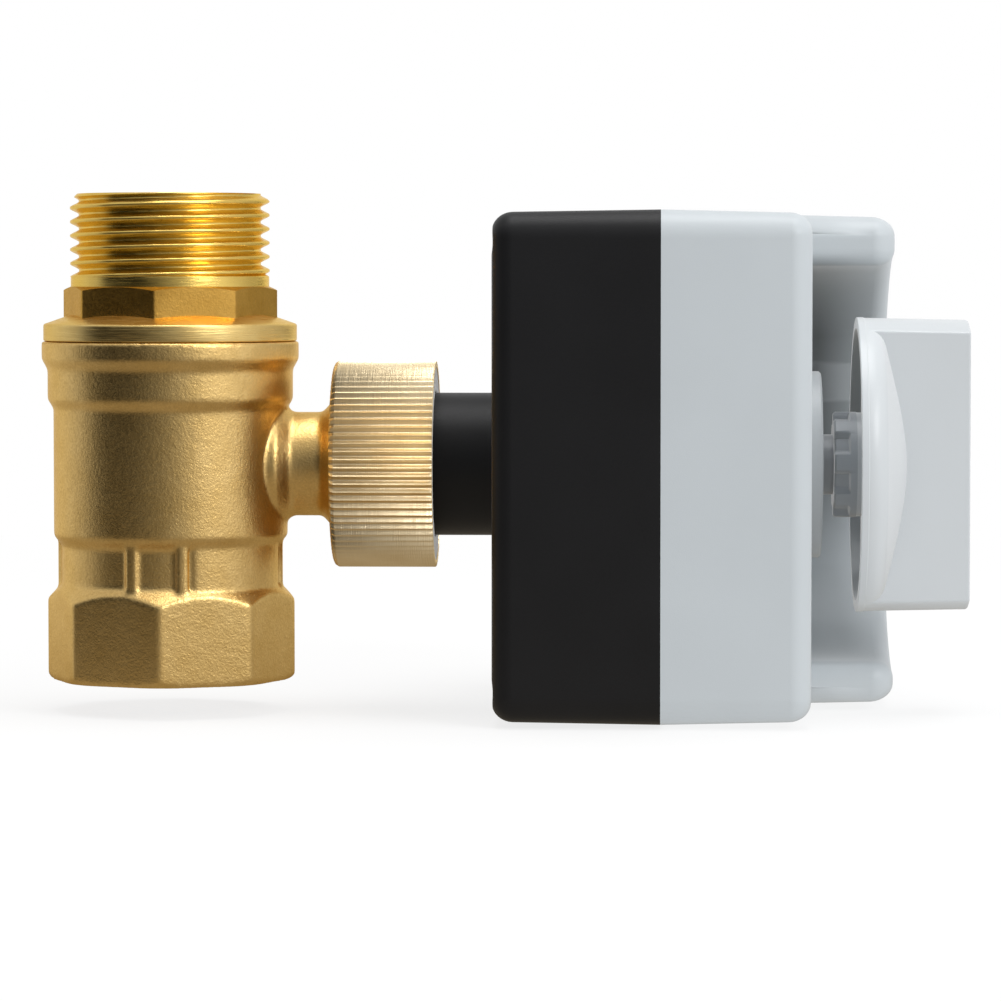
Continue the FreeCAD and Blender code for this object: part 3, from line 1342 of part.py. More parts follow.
def make_knob():
    """The hand knob, its spindle with a notched hub, and the screw between them."""
    x = knob_start
    shell = turned("knob_shell", "X", [
        (x + s.knob_hollow_depth, 0),
        (x + s.knob_hollow_depth, s.knob_skirt_radius - s.knob_wall),
        (x, s.knob_skirt_radius - s.knob_wall),
        (x, s.knob_radius),
        (x + s.knob_rim, s.knob_radius),
        (x + s.knob_rim, s.knob_skirt_radius),
        (x + s.knob_skirt_height, s.knob_skirt_radius),
        (x + s.knob_crown_height, s.grip_half_width),
        (x + s.knob_crown_height, 0),
    ], (0, axis_z))
    grip_round = rod("grip_round", "X", x + s.knob_hollow_depth, knob_end, s.knob_skirt_radius,
                     (0, axis_z))
    grip_box = padded("grip_box", "YZ_Plane", rectangle(
        -s.grip_half_width, s.grip_half_width, axis_z - s.knob_radius, axis_z + s.knob_radius,
    ), x + s.knob_hollow_depth, knob_end)
    boss = rod("knob_boss", "X", x, x + s.knob_hollow_depth + s.fit_gap, s.hub_radius - s.fit_gap,
               (0, axis_z))
    solid = fuse("knob_solid", shell, common("grip", grip_round, grip_box), boss)
    screw_hole = rod("knob_screw_hole", "X", cover_low, x + s.knob_screw_length - s.knob_hollow_depth,
                     s.knob_screw_radius + s.fit_gap, (0, axis_z))
    keep(cut("knob_drilled", solid, screw_hole), "knob")
    half = s.knob_square / 2
    square = block("spindle_square", (spindle_foot, spindle_round_x + s.fit_gap), (-half, half),
                   (axis_z - half, axis_z + half))
    round_part = turned("spindle_round", "X", [
        (spindle_round_x, 0),
        (spindle_round_x, s.spindle_radius),
        (hub_start, s.spindle_radius),
        (hub_start, s.hub_radius),
        (x, s.hub_radius),
        (x, 0),
    ], (0, axis_z))
    slots = []
    for number in range(int(s.hub_slot_count.number)):
        slot = document.addObject("Part::Box", f"hub_slot_{number}")
        slot.setExpression("Length", s.hub_slot_depth.formula)
        slot.setExpression("Width", s.hub_slot_width.formula)
        slot.setExpression("Height", (s.hub_radius - s.spindle_radius).formula)
        angle = 360 * number / int(s.hub_slot_count.number)
        slot.Placement.Rotation = FreeCAD.Rotation(FreeCAD.Vector(1, 0, 0), angle)
        reach = s.spindle_radius + s.box_wall / 2
        turn = as_size(angle)
        half_slot = s.hub_slot_width / 2
        place(slot, hub_start,
              -(reach * sine(turn)) - half_slot * cosine(turn),
              axis_z + reach * cosine(turn) - half_slot * sine(turn))
        slots.append(slot)
    screw_bore = rod("spindle_bore", "X", spindle_foot - s.part_gap, knob_start + s.part_gap,
                     s.knob_screw_radius + s.fit_gap, (0, axis_z))
    spindle = cut("spindle_cut", fuse("spindle_blank", square, round_part), *slots, screw_bore)
    keep(spindle, "knob_spindle")
    end = knob_start + s.knob_screw_length - s.knob_hollow_depth - s.part_gap
    shank = rod("knob_screw_shank", "X", spindle_foot - s.part_gap, end, s.knob_screw_radius, (0, axis_z))
    head = rod("knob_screw_head", "X", screw_head_x, spindle_foot,
               s.knob_screw_head_radius, (0, axis_z))
    keep(fuse("knob_bolt", head, shank), "knob_screw")


def check_document():
    """Stop if any object failed, or any sub-part has no valid solid."""
    document.recompute()
    for thing in document.Objects:
        for state in thing.State:
            if state in ("Invalid", "Error"):
                raise RuntimeError(f"{thing.Name} is {state}")
    for thing in nodes:
        shape = thing.Shape
        if shape.isNull() or not shape.isValid() or not shape.Solids:
            raise RuntimeError(f"{thing.Label} has no valid solid")


def write_parts():
    os.makedirs("parts", exist_ok=True)
    for thing in nodes:
        thing.Shape.exportStep(f"parts/{thing.Label}.step")


make_valve_body()
make_end_adapter()
make_seats()
make_ball()
make_stem()
make_union_nut()
make_base_housing()
make_cover()
make_box_seals_and_screws()
make_plates()
make_gears()
make_motor()
make_output_shaft()
make_spring()
make_cam()
make_switches()
make_board()
make_gland()
make_dial()
make_knob()
check_document()
write_parts()
for thing in nodes:
    box = thing.Shape.BoundBox
    print(f"{thing.Label}: {len(thing.Shape.Solids)} solid, {thing.Shape.Volume:.1f} mm3, "
          f"X {box.XMin:.2f} {box.XMax:.2f}, Y {box.YMin:.2f} {box.YMax:.2f}, "
          f"Z {box.ZMin:.2f} {box.ZMax:.2f}")
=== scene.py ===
import math

import bmesh
import bpy
from mathutils import Matrix, Vector


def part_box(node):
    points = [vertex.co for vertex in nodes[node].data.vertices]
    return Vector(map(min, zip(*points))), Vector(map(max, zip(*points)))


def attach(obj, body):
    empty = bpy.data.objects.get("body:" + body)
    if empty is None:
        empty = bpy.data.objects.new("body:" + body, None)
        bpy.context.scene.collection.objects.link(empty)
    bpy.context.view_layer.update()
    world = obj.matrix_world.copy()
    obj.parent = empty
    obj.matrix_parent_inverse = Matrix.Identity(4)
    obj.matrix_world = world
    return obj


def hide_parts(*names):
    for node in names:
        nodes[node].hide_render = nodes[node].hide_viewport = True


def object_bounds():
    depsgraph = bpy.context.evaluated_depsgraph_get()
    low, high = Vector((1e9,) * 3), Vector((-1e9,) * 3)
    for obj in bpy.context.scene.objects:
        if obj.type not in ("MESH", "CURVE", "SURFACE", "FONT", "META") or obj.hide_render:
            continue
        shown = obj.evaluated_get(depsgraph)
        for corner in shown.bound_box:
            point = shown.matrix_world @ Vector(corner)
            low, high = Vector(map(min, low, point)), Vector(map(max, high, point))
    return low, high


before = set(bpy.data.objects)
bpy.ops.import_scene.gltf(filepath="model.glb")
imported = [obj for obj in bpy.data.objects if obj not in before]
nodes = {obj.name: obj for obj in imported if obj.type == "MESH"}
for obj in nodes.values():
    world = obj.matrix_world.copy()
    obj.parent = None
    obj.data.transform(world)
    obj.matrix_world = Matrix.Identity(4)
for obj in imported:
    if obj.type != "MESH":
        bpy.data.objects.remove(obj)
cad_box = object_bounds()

# New pieces are shaped in millimetres and brought to metres when they are finished. Copies of CAD nodes
# and the stage are in metres.
MM = 0.001
X = Vector((1, 0, 0))
Y = Vector((0, 1, 0))
Z = Vector((0, 0, 1))

scene = bpy.context.scene


def span(node):
    """The lowest and highest corner of a CAD node, in millimetres."""
    low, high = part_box(node)
    return low / MM, high / MM


body_high = span("valve_body")[1]
end_low, end_high = span("end_adapter")
nut_low, nut_high = span("union_nut")
knob_low, knob_high = span("knob")
hub_low = span("knob_spindle")[0]
box_low, box_high = span("cover")
stem_z = (nut_low.z + nut_high.z) / 2
stem_axis = Vector((0, 0, stem_z))

# Pipe thread: over its crests, in its roots, and from crest to crest.
THREAD_CREST = 16.62
THREAD_ROOT = 15.14
THREAD_PITCH = 2.309
# Where the male thread has a crest on its left side.
THREAD_CREST_HEIGHT = 78.58
# The flat share of each half pitch, at its root and again at its crest, and how round the corners are.
THREAD_FLAT = 0.14
THREAD_ROUNDING = 0.4
THREAD_STEPS = 96
THREAD_ROWS = 12

# Cast body, upwards from the port.
OCTAGON_CORNER = 20.85
OCTAGON_TOP = 13.6
OCTAGON_EDGE = 0.5
# The cone that turns the octagon's corners down to the waist.
CONE_FOOT = 13.2
CONE_TOP = 16.6
CONE_TOP_RADIUS = 17.6
CONE_ROUND = 1.2
PORT_CHAMFER = 1.0
PORT_CHAMFER_HEIGHT = 0.9
WAIST_FOOT = 16.1
WAIST_TOP = 22.5
WAIST_RADIUS = 18.2
BARREL_RADIUS = 19.5
BARREL_TOP = 45.3
BAND_RADIUS = 20.45
BAND_TOP = 51.8
COLLAR_RADIUS = 21.42
# How high the slopes are below the barrel, the band and the collar.
BARREL_SLOPE = 1.6
BAND_SLOPE = 1.5
COLLAR_SLOPE = 1.7
# How deep the waist reaches down inside the octagon.
WAIST_SUNK = 5.0
# Roundings, from the casting's soft shoulders to fine edges.
SHOULDER_ROUND = 0.9
BAND_ROUND = 0.8
COLLAR_ROUND = 0.7
SOFT_EDGE = 0.5
RIM_EDGE = 0.35
FINE_EDGE = 0.3
# How far a turned cutter stands off the corners that it leaves alone.
CUTTER_PLAY = 0.1

# Raised fields and ribs round the waist, each from a first to a last angle in degrees from +X, and its
# height.
WAIST_FIELDS = (
    (-107.5, -101.5, 0.75), (-81, -75.5, 0.9), (-73, -11, 0.5), (-7.5, -3.5, 0.8), (13, 19, 0.75),
    (36, 72, 0.5), (74, 80, 0.9), (101, 107, 0.75), (110, 160, 0.5), (178, 184, 0.7),
)
# How far they run past the waist's foot and top and into its wall, and the degrees between their steps.
FIELD_BELOW = 1.5
FIELD_ABOVE = 0.8
FIELD_ROOT = 2.0
FIELD_STEP = 4

# Boss along the stem: its flared root, its neck, the cone to its thread, and the thread's end.
BOSS_START = 8.0
BOSS_ROOT_END = 18.3
BOSS_NECK_START = 20.6
BOSS_NECK_END = 25.5
BOSS_CONE_END = 28.6
BOSS_THREAD_START = 30.0
BOSS_END = 36.0
BOSS_RADIUS = 8.65
BOSS_FLARE = 1.75
BOSS_CONE = 3.4
BOSS_THREAD_ROOT = 13.95
BOSS_ROUND = 1.0

# Bores in the cast body: the thread, the flow way, a seat, the ball's chamber, the end piece and the stem.
PORT_DEPTH = 13.9
PORT_RADIUS = 16.82
PORT_THREAD_TOP = 13.8
PORT_THREAD_WALL = 16.97
PORT_THREAD_CHAMFER = 0.9
FLOW_RADIUS = 10.3
SEAT_FOOT = 22.6
SEAT_RADIUS = 14.9
CHAMBER_FOOT = 27.0
CHAMBER_RADIUS = 16.7
CHAMBER_TOP = 45.0
SOCKET_RADIUS = 17.5
PASSAGE_START = -2.0
PASSAGE_END = 60.0
STEM_BORE_START = 10.0
STEM_BORE_END = 40.0
STEM_COLLAR_RADIUS = 5.7
STEM_COLLAR_END = 18.8
STEM_RADIUS = 4.06
# Size of the cells in the casting's skin, and how often it is smoothed.
CAST_CELL = 0.38
CAST_SMOOTHING = 5

# End piece.
SLEEVE_RADIUS = 17.4
SLEEVE_SEAT_TOP = 49.5
END_BORE_START = 52.0
FLANGE_RADIUS = 21.12
FLANGE_TOP = 59.3
FLANGE_LOWER_EDGE = 0.25
FLANGE_UPPER_EDGE = 0.45
FLANGE_CONE_TOP = 61.2
FLANGE_CONE_RADIUS = 15.65
END_OCTAGON_CORNER = 18.05
END_OCTAGON_TURN = -2.6
END_OCTAGON_FOOT = 58.3
END_OCTAGON_TOP = 65.7
END_OCTAGON_CHAMFER = 0.85
END_OCTAGON_RADIUS = 16.22
# The plain neck between the octagon and the thread, down to its undercut.
END_NECK_FOOT = 65.3
END_NECK_TOP = 67.25
END_NECK_RADIUS = 16.52
END_NECK_EDGE = 0.2
UNDERCUT_TOP = 68.25
UNDERCUT_RADIUS = 14.84
END_THREAD_FOOT = 67.15
END_THREAD_CHAMFER = 1.2
END_BORE = 12.6

# Union nut, and the ring in its end, whose white is a painted highlight.
NUT_RADIUS = 17.2
NUT_THREAD_RADIUS = 14.6
NUT_HOLE = 12.15
NUT_LIP = 4.0
NUT_CHAMFER = 0.8
NUT_CHAMFER_DEPTH = 0.9
NUT_KNEE = 0.25
NUT_KNEE_DEPTH = 0.35
NUT_KNEE_ROUND = 0.1
NUT_END_EDGE = 0.12
NUT_GROOVE_EDGE = 0.2
NUT_RIM = 0.95
NUT_GROOVE = 1.5
NUT_GROOVE_WALL = 1.2
NUT_RIBS = 80
NUT_RIB_DEPTH = 0.62
NUT_STEPS_PER_RIB = 8
# How deep under the outside the ribs reach, how fast they rise there, and how narrow their crests are.
RIB_REACH = 1.0
RIB_RISE = 3.0
RIB_POWER = 0.7
END_RING_HOLE = 12.2
END_RING_WALL = 1.0
END_RING_FOOT = 1.6
END_RING_SUNK = 0.1
END_RING_EDGE = 0.15

# Hand knob: a hollow under its rim, the skirt with its shoulder, the crown and the grip.
KNOB_RADIUS = 24.48
KNOB_HOLLOW = 2.8
KNOB_HOLLOW_WALL = 2.2
KNOB_HOLLOW_ROUND = 0.4
KNOB_LIP_WALL = 1.8
KNOB_LIP_EDGE = 0.15
KNOB_RIM_HEIGHT = 1.15
KNOB_RIM_EDGE = 0.1
SKIRT_FOOT = 1.2
SKIRT_FOOT_EDGE = 0.05
SKIRT_RADIUS = 24.38
SKIRT_HEIGHT = 3.8
SKIRT_ROUND = 3.0
CROWN_HEIGHT = 8.0
CROWN_ROUND = 2.0
GRIP_FOOT = 1.3
GRIP_RADIUS = 24.05
GRIP_HALF_WIDTH = 9.6
GRIP_EDGE = 0.55
# The boss in the knob's hollow that the hub meets.
KNOB_BOSS_HEIGHT = 3.0
KNOB_BOSS_RADIUS = 8.65

# Hub, from its lower face to the knob, and its spindle with a square foot.
HUB_RADIUS = 8.75
HUB_HEIGHT = 3.8
HUB_CHAMFER = 0.3
HUB_BORE = 4.0
HUB_TEETH = 8
HUB_STEPS_PER_TOOTH = 24
TOOTH_LENGTH = 2.4
TOOTH_ROOT = 2.7
TOOTH_DEPTH = 1.1
# How far the teeth are turned, in radians of their wave, and how steep their sides are.
TOOTH_TURN = 0.6
TOOTH_FLANK = 1.6
SPINDLE_RADIUS = 5.0
SPINDLE_SQUARE = 6.0
SPINDLE_OVERLAP = 0.5
SQUARE_LENGTH = 13.2
SQUARE_OVERLAP = 0.2

# Neck and box, whose two halves meet at the parting.
NECK_RADIUS = 11.88
NECK_WALL = 0.5
NECK_UNDER_NUT = 3.0
NECK_END = 54.9
PARTING = 81.8
COVER_FACE = 106.0
RECESS_RADIUS = 33.0
# How far the box's upper and lower walls lean in, over the outer band of its height.
BASE_DRAFT = 0.015
COVER_DRAFT = 0.024
DRAFT_BAND = 4.0

# How far apart two faces stand that meet.
HAIRLINE = 0.02

# Points nearer to each other than this are one, also where a thread's turns meet. A shorter edge is
# none.
SAME_POINT = 1e-4
SAME_THREAD_POINT = 1e-3
NO_EDGE = 1e-5
# The same for a CAD node's points, in metres, and the angle in degrees below which its faces are one.
SAME_CAD_POINT = 1e-6
SAME_CAD_FACE = 0.2


# Shaping tools.

def rounded_outline(corners, steps=5):
    """Points of an outline of (along, radius, rounding) corners, with an arc at each rounded one."""
    points = []
    for number, (along, radius, rounding) in enumerate(corners):
        corner = Vector((along, radius))
        if not rounding:
            points.append(corner)
            continue
        before = Vector(corners[number - 1][:2]) - corner
        after = Vector(corners[(number + 1) % len(corners)][:2]) - corner
        opening = before.angle(after)
        reach = rounding / math.tan(opening / 2)
        first = corner + before.normalized() * reach
        last = corner + after.normalized() * reach
        middle = corner + (before.normalized() + after.normalized()).normalized() * (
            rounding / math.sin(opening / 2))
        turn = (first - middle).angle_signed(last - middle)
        for step in range(steps + 1):
            arm = (first - middle).copy()
            arm.rotate(Matrix.Rotation(-turn * step / steps, 2))
            points.append(middle + arm)
    return points


def lathe(outline, axis, steps=128, centre=Vector()):
    """A closed shape turned about X or Z through centre, from (along, radius) points on its far side."""
    bm = bmesh.new()
    chain = [bm.verts.new(centre + axis * along + Y * radius) for along, radius in outline]
    for first, second in zip(chain, chain[1:] + chain[:1]):
        bm.edges.new((first, second))
    bmesh.ops.spin(bm, geom=bm.verts[:] + bm.edges[:], cent=centre, axis=axis,
                   angle=math.tau, steps=steps, use_merge=True)
    return tidy(bm)


def tidy(bm):
    """Merge doubles and turn every face outwards."""
    bmesh.ops.remove_doubles(bm, verts=bm.verts, dist=SAME_POINT)
    bmesh.ops.dissolve_degenerate(bm, edges=bm.edges, dist=NO_EDGE)
    bmesh.ops.recalc_face_normals(bm, faces=bm.faces)
    return bm


def prism(sides, radius, low, high, soft, turn=0.0):
    """An upright bar with flat sides, its upright edges softened."""
    bm = bmesh.new()
    bmesh.ops.create_circle(bm, cap_ends=True, segments=sides, radius=radius,
                            matrix=Matrix.Translation(Z * low) @ Matrix.Rotation(turn, 4, "Z"))
    grown = bmesh.ops.extrude_face_region(bm, geom=bm.faces[:])
    bmesh.ops.translate(bm, vec=Z * (high - low),
                        verts=[v for v in grown["geom"] if isinstance(v, bmesh.types.BMVert)])
    upright = [e for e in bm.edges if abs((e.verts[0].co - e.verts[1].co).z) > soft]
    bmesh.ops.bevel(bm, geom=upright, offset=soft, offset_type="OFFSET", segments=3,
                    profile=0.5, affect="EDGES", material=-1)
    return tidy(bm)


def bar(low, high):
    """A straight block between two corners."""
    bm = bmesh.new()
    size = Vector(high) - Vector(low)
    middle = (Vector(high) + Vector(low)) / 2
    bmesh.ops.create_cube(bm, size=1.0, matrix=Matrix.Translation(middle) @ Matrix.Diagonal((*size, 1)))
    return tidy(bm)


def as_object(bm):
    """A bmesh in millimetres as an object that modifiers can use."""
    mesh = bpy.data.meshes.new("tool")
    bm.to_mesh(mesh)
    bm.free()
    thing = bpy.data.objects.new("tool", mesh)
    scene.collection.objects.link(thing)
    return thing


def settle(thing):
    """Apply a thing's modifiers."""
    bpy.context.view_layer.update()
    seen = thing.evaluated_get(bpy.context.evaluated_depsgraph_get())
    mesh = bpy.data.meshes.new_from_object(seen)
    thing.modifiers.clear()
    thing.data = mesh
    return thing


def boolean(thing, other, operation):
    """Join, cut or intersect a thing with another, which is used up."""
    step = thing.modifiers.new("boolean", "BOOLEAN")
    step.operation = operation
    step.solver = "EXACT"
    step.object = other
    settle(thing)
    bpy.data.objects.remove(other)
    return thing


def united(things):
    """Several shells as one mesh."""
    bm = bmesh.new()
    for thing in things:
        bm.from_mesh(thing.data)
        bpy.data.objects.remove(thing)
    return as_object(bm)


def skinned(thing, cell, rounds):
    """A skin over overlapping shells, smoothed as a casting's edges are."""
    skin = thing.modifiers.new("skin", "REMESH")
    skin.mode = "VOXEL"
    skin.voxel_size = cell
    ease = thing.modifiers.new("ease", "SMOOTH")
    ease.iterations = rounds
    ease.factor = 0.5
    return settle(thing)


def eased(thing, width):
    """Round the sharp edges of a thing."""
    ease = thing.modifiers.new("ease", "BEVEL")
    ease.width = width
    ease.segments = 3
    ease.limit_method = "ANGLE"
    ease.angle_limit = math.radians(50)
    return settle(thing)


def thread_rows():
    """One pitch of the thread's outline, as (share of the pitch, radius), from root to crest to root."""
    for row in range(THREAD_ROWS + 1):
        share = row / THREAD_ROWS
        ridge = (1 - abs(2 * share - 1) - THREAD_FLAT) / (1 - 2 * THREAD_FLAT)
        ridge = min(max(ridge, 0.0), 1.0)
        rounded = (3 - 2 * ridge) * ridge * ridge
        ridge += (rounded - ridge) * THREAD_ROUNDING
        yield share, THREAD_ROOT + (THREAD_CREST - THREAD_ROOT) * ridge


def thread_tube(low, high, wall, chamfer_low=0.0, chamfer_high=0.0):
    """A tube with a pipe thread on one side and a plain wall on the other, along Z."""
    bm = bmesh.new()
    # A turn starts at +Y. Its crest is half a pitch up, and a quarter turn further it is on the left.
    below = math.ceil((THREAD_CREST_HEIGHT - low) / THREAD_PITCH) + 1
    start = THREAD_CREST_HEIGHT - THREAD_PITCH * (below + 0.5 + 0.25)
    chain = [bm.verts.new((0, radius, start + share * THREAD_PITCH)) for share, radius in thread_rows()]
    for first, second in zip(chain, chain[1:]):
        bm.edges.new((first, second))
    turns = math.ceil((high - start) / THREAD_PITCH) + 1
    bmesh.ops.spin(bm, geom=bm.verts[:] + bm.edges[:], cent=(0, 0, 0), axis=Z,
                   dvec=Z * THREAD_PITCH / THREAD_STEPS, angle=math.tau * turns,
                   steps=THREAD_STEPS * turns)
    bmesh.ops.remove_doubles(bm, verts=bm.verts, dist=SAME_THREAD_POINT)
    for level, outward in ((low, -Z), (high, Z)):
        bmesh.ops.bisect_plane(bm, geom=bm.verts[:] + bm.edges[:] + bm.faces[:],
                               plane_co=Z * level, plane_no=outward, clear_outer=True)
    male = wall < THREAD_ROOT
    height = THREAD_CREST - THREAD_ROOT
    for vert in bm.verts:
        radius = vert.co.xy.length
        depth = min(vert.co.z - low + height - chamfer_low, high - vert.co.z + height - chamfer_high)
        if male:
            wanted = min(radius, max(THREAD_ROOT + depth, THREAD_ROOT - chamfer_high))
        else:
            wanted = max(radius, THREAD_CREST - depth)
        if wanted != radius:
            vert.co.xy *= wanted / radius
    loops = []
    for level in (low, high):
        rim = [e for e in bm.edges if e.is_boundary and
               all(abs(v.co.z - level) < SAME_THREAD_POINT for v in e.verts)]
        grown = bmesh.ops.extrude_edge_only(bm, edges=rim)["geom"]
        for vert in grown:
            if isinstance(vert, bmesh.types.BMVert):
                vert.co.xy *= wall / vert.co.xy.length
        loops += [e for e in grown if isinstance(e, bmesh.types.BMEdge)]
    bmesh.ops.bridge_loops(bm, edges=loops)
    return tidy(bm)


def flat_faces_first(thing):
    """Let the large faces at a corner set its shading, so that flats look flat."""
    flat = thing.modifiers.new("flat", "WEIGHTED_NORMAL")
    flat.keep_sharp = True
    flat.mode = "FACE_AREA_WITH_ANGLE"
    name = thing.data.name
    settle(thing)
    thing.data.name = name


def finished(thing, name, material, body, sharp=35, replaced=(), flats=False):
    """Bring a shape to metres, shade it, give it its material and let it ride on its body."""
    thing.name = name
    thing.data.name = name
    thing.data.transform(Matrix.Scale(MM, 4))
    thing.data.materials.clear()
    thing.data.materials.append(material)
    thing.data.shade_smooth()
    thing.data.set_sharp_from_angle(angle=math.radians(sharp))
    if flats:
        flat_faces_first(thing)
    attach(thing, body)
    if replaced:
        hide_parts(*replaced)


# Materials.

def material_of(name):
    """A new material, with its node tree and its shader."""
    material = bpy.data.materials.new(name)
    material.use_nodes = True
    return material, material.node_tree, material.node_tree.nodes["Principled BSDF"]


def add(tree, kind, **settings):
    """A new node of a kind, with its settings."""
    node = tree.nodes.new(kind)
    for key, value in settings.items():
        setattr(node, key, value)
    return node


def noise(tree, scale, detail=2.0, roughness=0.5, stretch=(1, 1, 1)):
    """Noise on the piece's own coordinates. scale counts its blobs in a metre."""
    place = add(tree, "ShaderNodeTexCoord")
    mapping = add(tree, "ShaderNodeMapping")
    mapping.inputs["Scale"].default_value = stretch
    texture = add(tree, "ShaderNodeTexNoise")
    texture.inputs["Scale"].default_value = scale
    texture.inputs["Detail"].default_value = detail
    texture.inputs["Roughness"].default_value = roughness
    tree.links.new(place.outputs["Object"], mapping.inputs["Vector"])
    tree.links.new(mapping.outputs["Vector"], texture.inputs["Vector"])
    return texture.outputs["Fac"]


def ranged(tree, value, low, high, start=0.35, end=0.65):
    """Bring a value between start and end, which are the middle of a noise, to low and high."""
    step = add(tree, "ShaderNodeMapRange")
    step.inputs["From Min"].default_value = start
    step.inputs["From Max"].default_value = end
    step.inputs["To Min"].default_value = low
    step.inputs["To Max"].default_value = high
    tree.links.new(value, step.inputs["Value"])
    return step.outputs["Result"]


def banded(tree, value, low, high, middle, band):
    """Bring a coordinate to a range over a band of millimetres from a middle."""
    return ranged(tree, value, low, high, (middle + band[0]) * MM, (middle + band[1]) * MM)


def combined(tree, operation, first, *others):
    """Several values put through one operation, such as MULTIPLY or MAXIMUM."""
    for other in others:
        step = add(tree, "ShaderNodeMath", operation=operation)
        tree.links.new(first, step.inputs[0])
        tree.links.new(other, step.inputs[1])
        first = step.outputs["Value"]
    return first


def blend(tree, factor, first, second):
    """From the first colour to the second by a factor. Each is a colour or an output."""
    mix = add(tree, "ShaderNodeMix", data_type="RGBA")
    for socket, value in (("A", first), ("B", second)):
        entry = next(i for i in mix.inputs if i.name == socket and i.type == "RGBA")
        if isinstance(value, tuple):
            entry.default_value = (*value, 1)
        else:
            tree.links.new(value, entry)
    tree.links.new(factor, mix.inputs["Factor"])
    return next(o for o in mix.outputs if o.type == "RGBA")


def mottled(tree, pattern, dark, light):
    """A colour that goes from dark to light with a noise."""
    return blend(tree, ranged(tree, pattern, 0, 1, start=0.3, end=0.7), dark, light)


def bumped(tree, shader, layers):
    """Stack bumps of (height, distance in millimetres, strength)."""
    normal = None
    for height, distance, strength in layers:
        bump = add(tree, "ShaderNodeBump")
        bump.inputs["Strength"].default_value = strength
        bump.inputs["Distance"].default_value = distance * MM
        tree.links.new(height, bump.inputs["Height"])
        if normal:
            tree.links.new(normal, bump.inputs["Normal"])
        normal = bump.outputs["Normal"]
    tree.links.new(normal, shader.inputs["Normal"])


def cast_brass(name, light, dark, depth):
    """Sandblasted brass: fine grain of a depth in millimetres, faint spots, darker in its pits."""
    material, tree, shader = material_of(name)
    grain = noise(tree, scale=2600, detail=3.0, roughness=0.65)
    spots = noise(tree, scale=240, detail=3.0, roughness=0.6)
    pits = noise(tree, scale=900, detail=1.0, roughness=0.4)
    pit_colour = tuple(part * 0.6 for part in dark)
    tone = mottled(tree, spots, dark, light)
    tone = blend(tree, ranged(tree, grain, 0, 0.4, start=0.3, end=0.75), tone, pit_colour)
    tree.links.new(tone, shader.inputs["Base Color"])
    tree.links.new(ranged(tree, grain, 0.28, 0.40), shader.inputs["Roughness"])
    shader.inputs["Metallic"].default_value = 1.0
    shader.inputs["Specular Tint"].default_value = (0.95, 0.80, 0.52, 1)
    bumped(tree, shader, ((grain, depth, 0.7), (pits, depth, 0.35)))
    return material


def machined_brass(name, light, dark, roughness, axis):
    """Brass from a lathe or mill, with fine tool lines round an axis."""
    material, tree, shader = material_of(name)
    stretch = {"X": (1, 0.02, 0.02), "Z": (0.02, 0.02, 1)}[axis]
    tool = noise(tree, scale=9000, detail=1.0, stretch=stretch)
    spots = noise(tree, scale=160, detail=3.0, roughness=0.55)
    tree.links.new(mottled(tree, spots, dark, light), shader.inputs["Base Color"])
    tree.links.new(ranged(tree, tool, roughness - 0.05, roughness + 0.07), shader.inputs["Roughness"])
    shader.inputs["Metallic"].default_value = 1.0
    shader.inputs["Specular Tint"].default_value = (0.97, 0.82, 0.5, 1)
    bumped(tree, shader, ((tool, 0.05, 0.8),))
    return material


def moulded(name, colour, roughness, grain_scale=5200, grain_depth=0.03, specular=0.5, change=0.06):
    """Moulded plastic with a fine spark grain."""
    material, tree, shader = material_of(name)
    grain = noise(tree, scale=grain_scale, roughness=0.6)
    cloud = noise(tree, scale=55)
    darker = tuple(part * (1 - change) for part in colour)
    lighter = tuple(min(part * (1 + change), 1) for part in colour)
    tree.links.new(mottled(tree, cloud, darker, lighter), shader.inputs["Base Color"])
    tree.links.new(ranged(tree, grain, roughness - 0.04, roughness + 0.06), shader.inputs["Roughness"])
    shader.inputs["Specular IOR Level"].default_value = specular
    bumped(tree, shader, ((grain, grain_depth, 0.5),))
    return material


def plain_metal(name, light, dark, roughness, scale=700, stretch=(1, 1, 1)):
    """Plated, drawn or sintered metal for the small and inner pieces."""
    material, tree, shader = material_of(name)
    streak = noise(tree, scale=scale, roughness=0.6, stretch=stretch)
    tree.links.new(mottled(tree, streak, dark, light), shader.inputs["Base Color"])
    tree.links.new(ranged(tree, streak, roughness - 0.06, roughness + 0.08), shader.inputs["Roughness"])
    shader.inputs["Metallic"].default_value = 1.0
    bumped(tree, shader, ((streak, 0.02, 0.3),))
    return material


# Painted shade deep in the recess behind the knob, a darker colour where little light reaches, and how much
# of it there is at the cover's face, above the stem and at the recess's upper rim.
RECESS_PAINTED_SHADE = (0.07, 0.08, 0.085)
DARK_AT_FACE = 0.96
DARK_ABOVE_STEM = 0.97
DARK_AT_RIM = 0.45
# The bands over which it comes and goes: out from the recess's wall, along the stem from the cover's face,
# and in height from the stem's axis.
WALL_BAND = (-0.2, 2.0)
FACE_BAND = (0.05, 0.5)
DEPTH_BAND = (3.0, 14.0)
LOWER_BAND = (-18.0, -2.0)
UPPER_BAND = (21.0, 32.0)


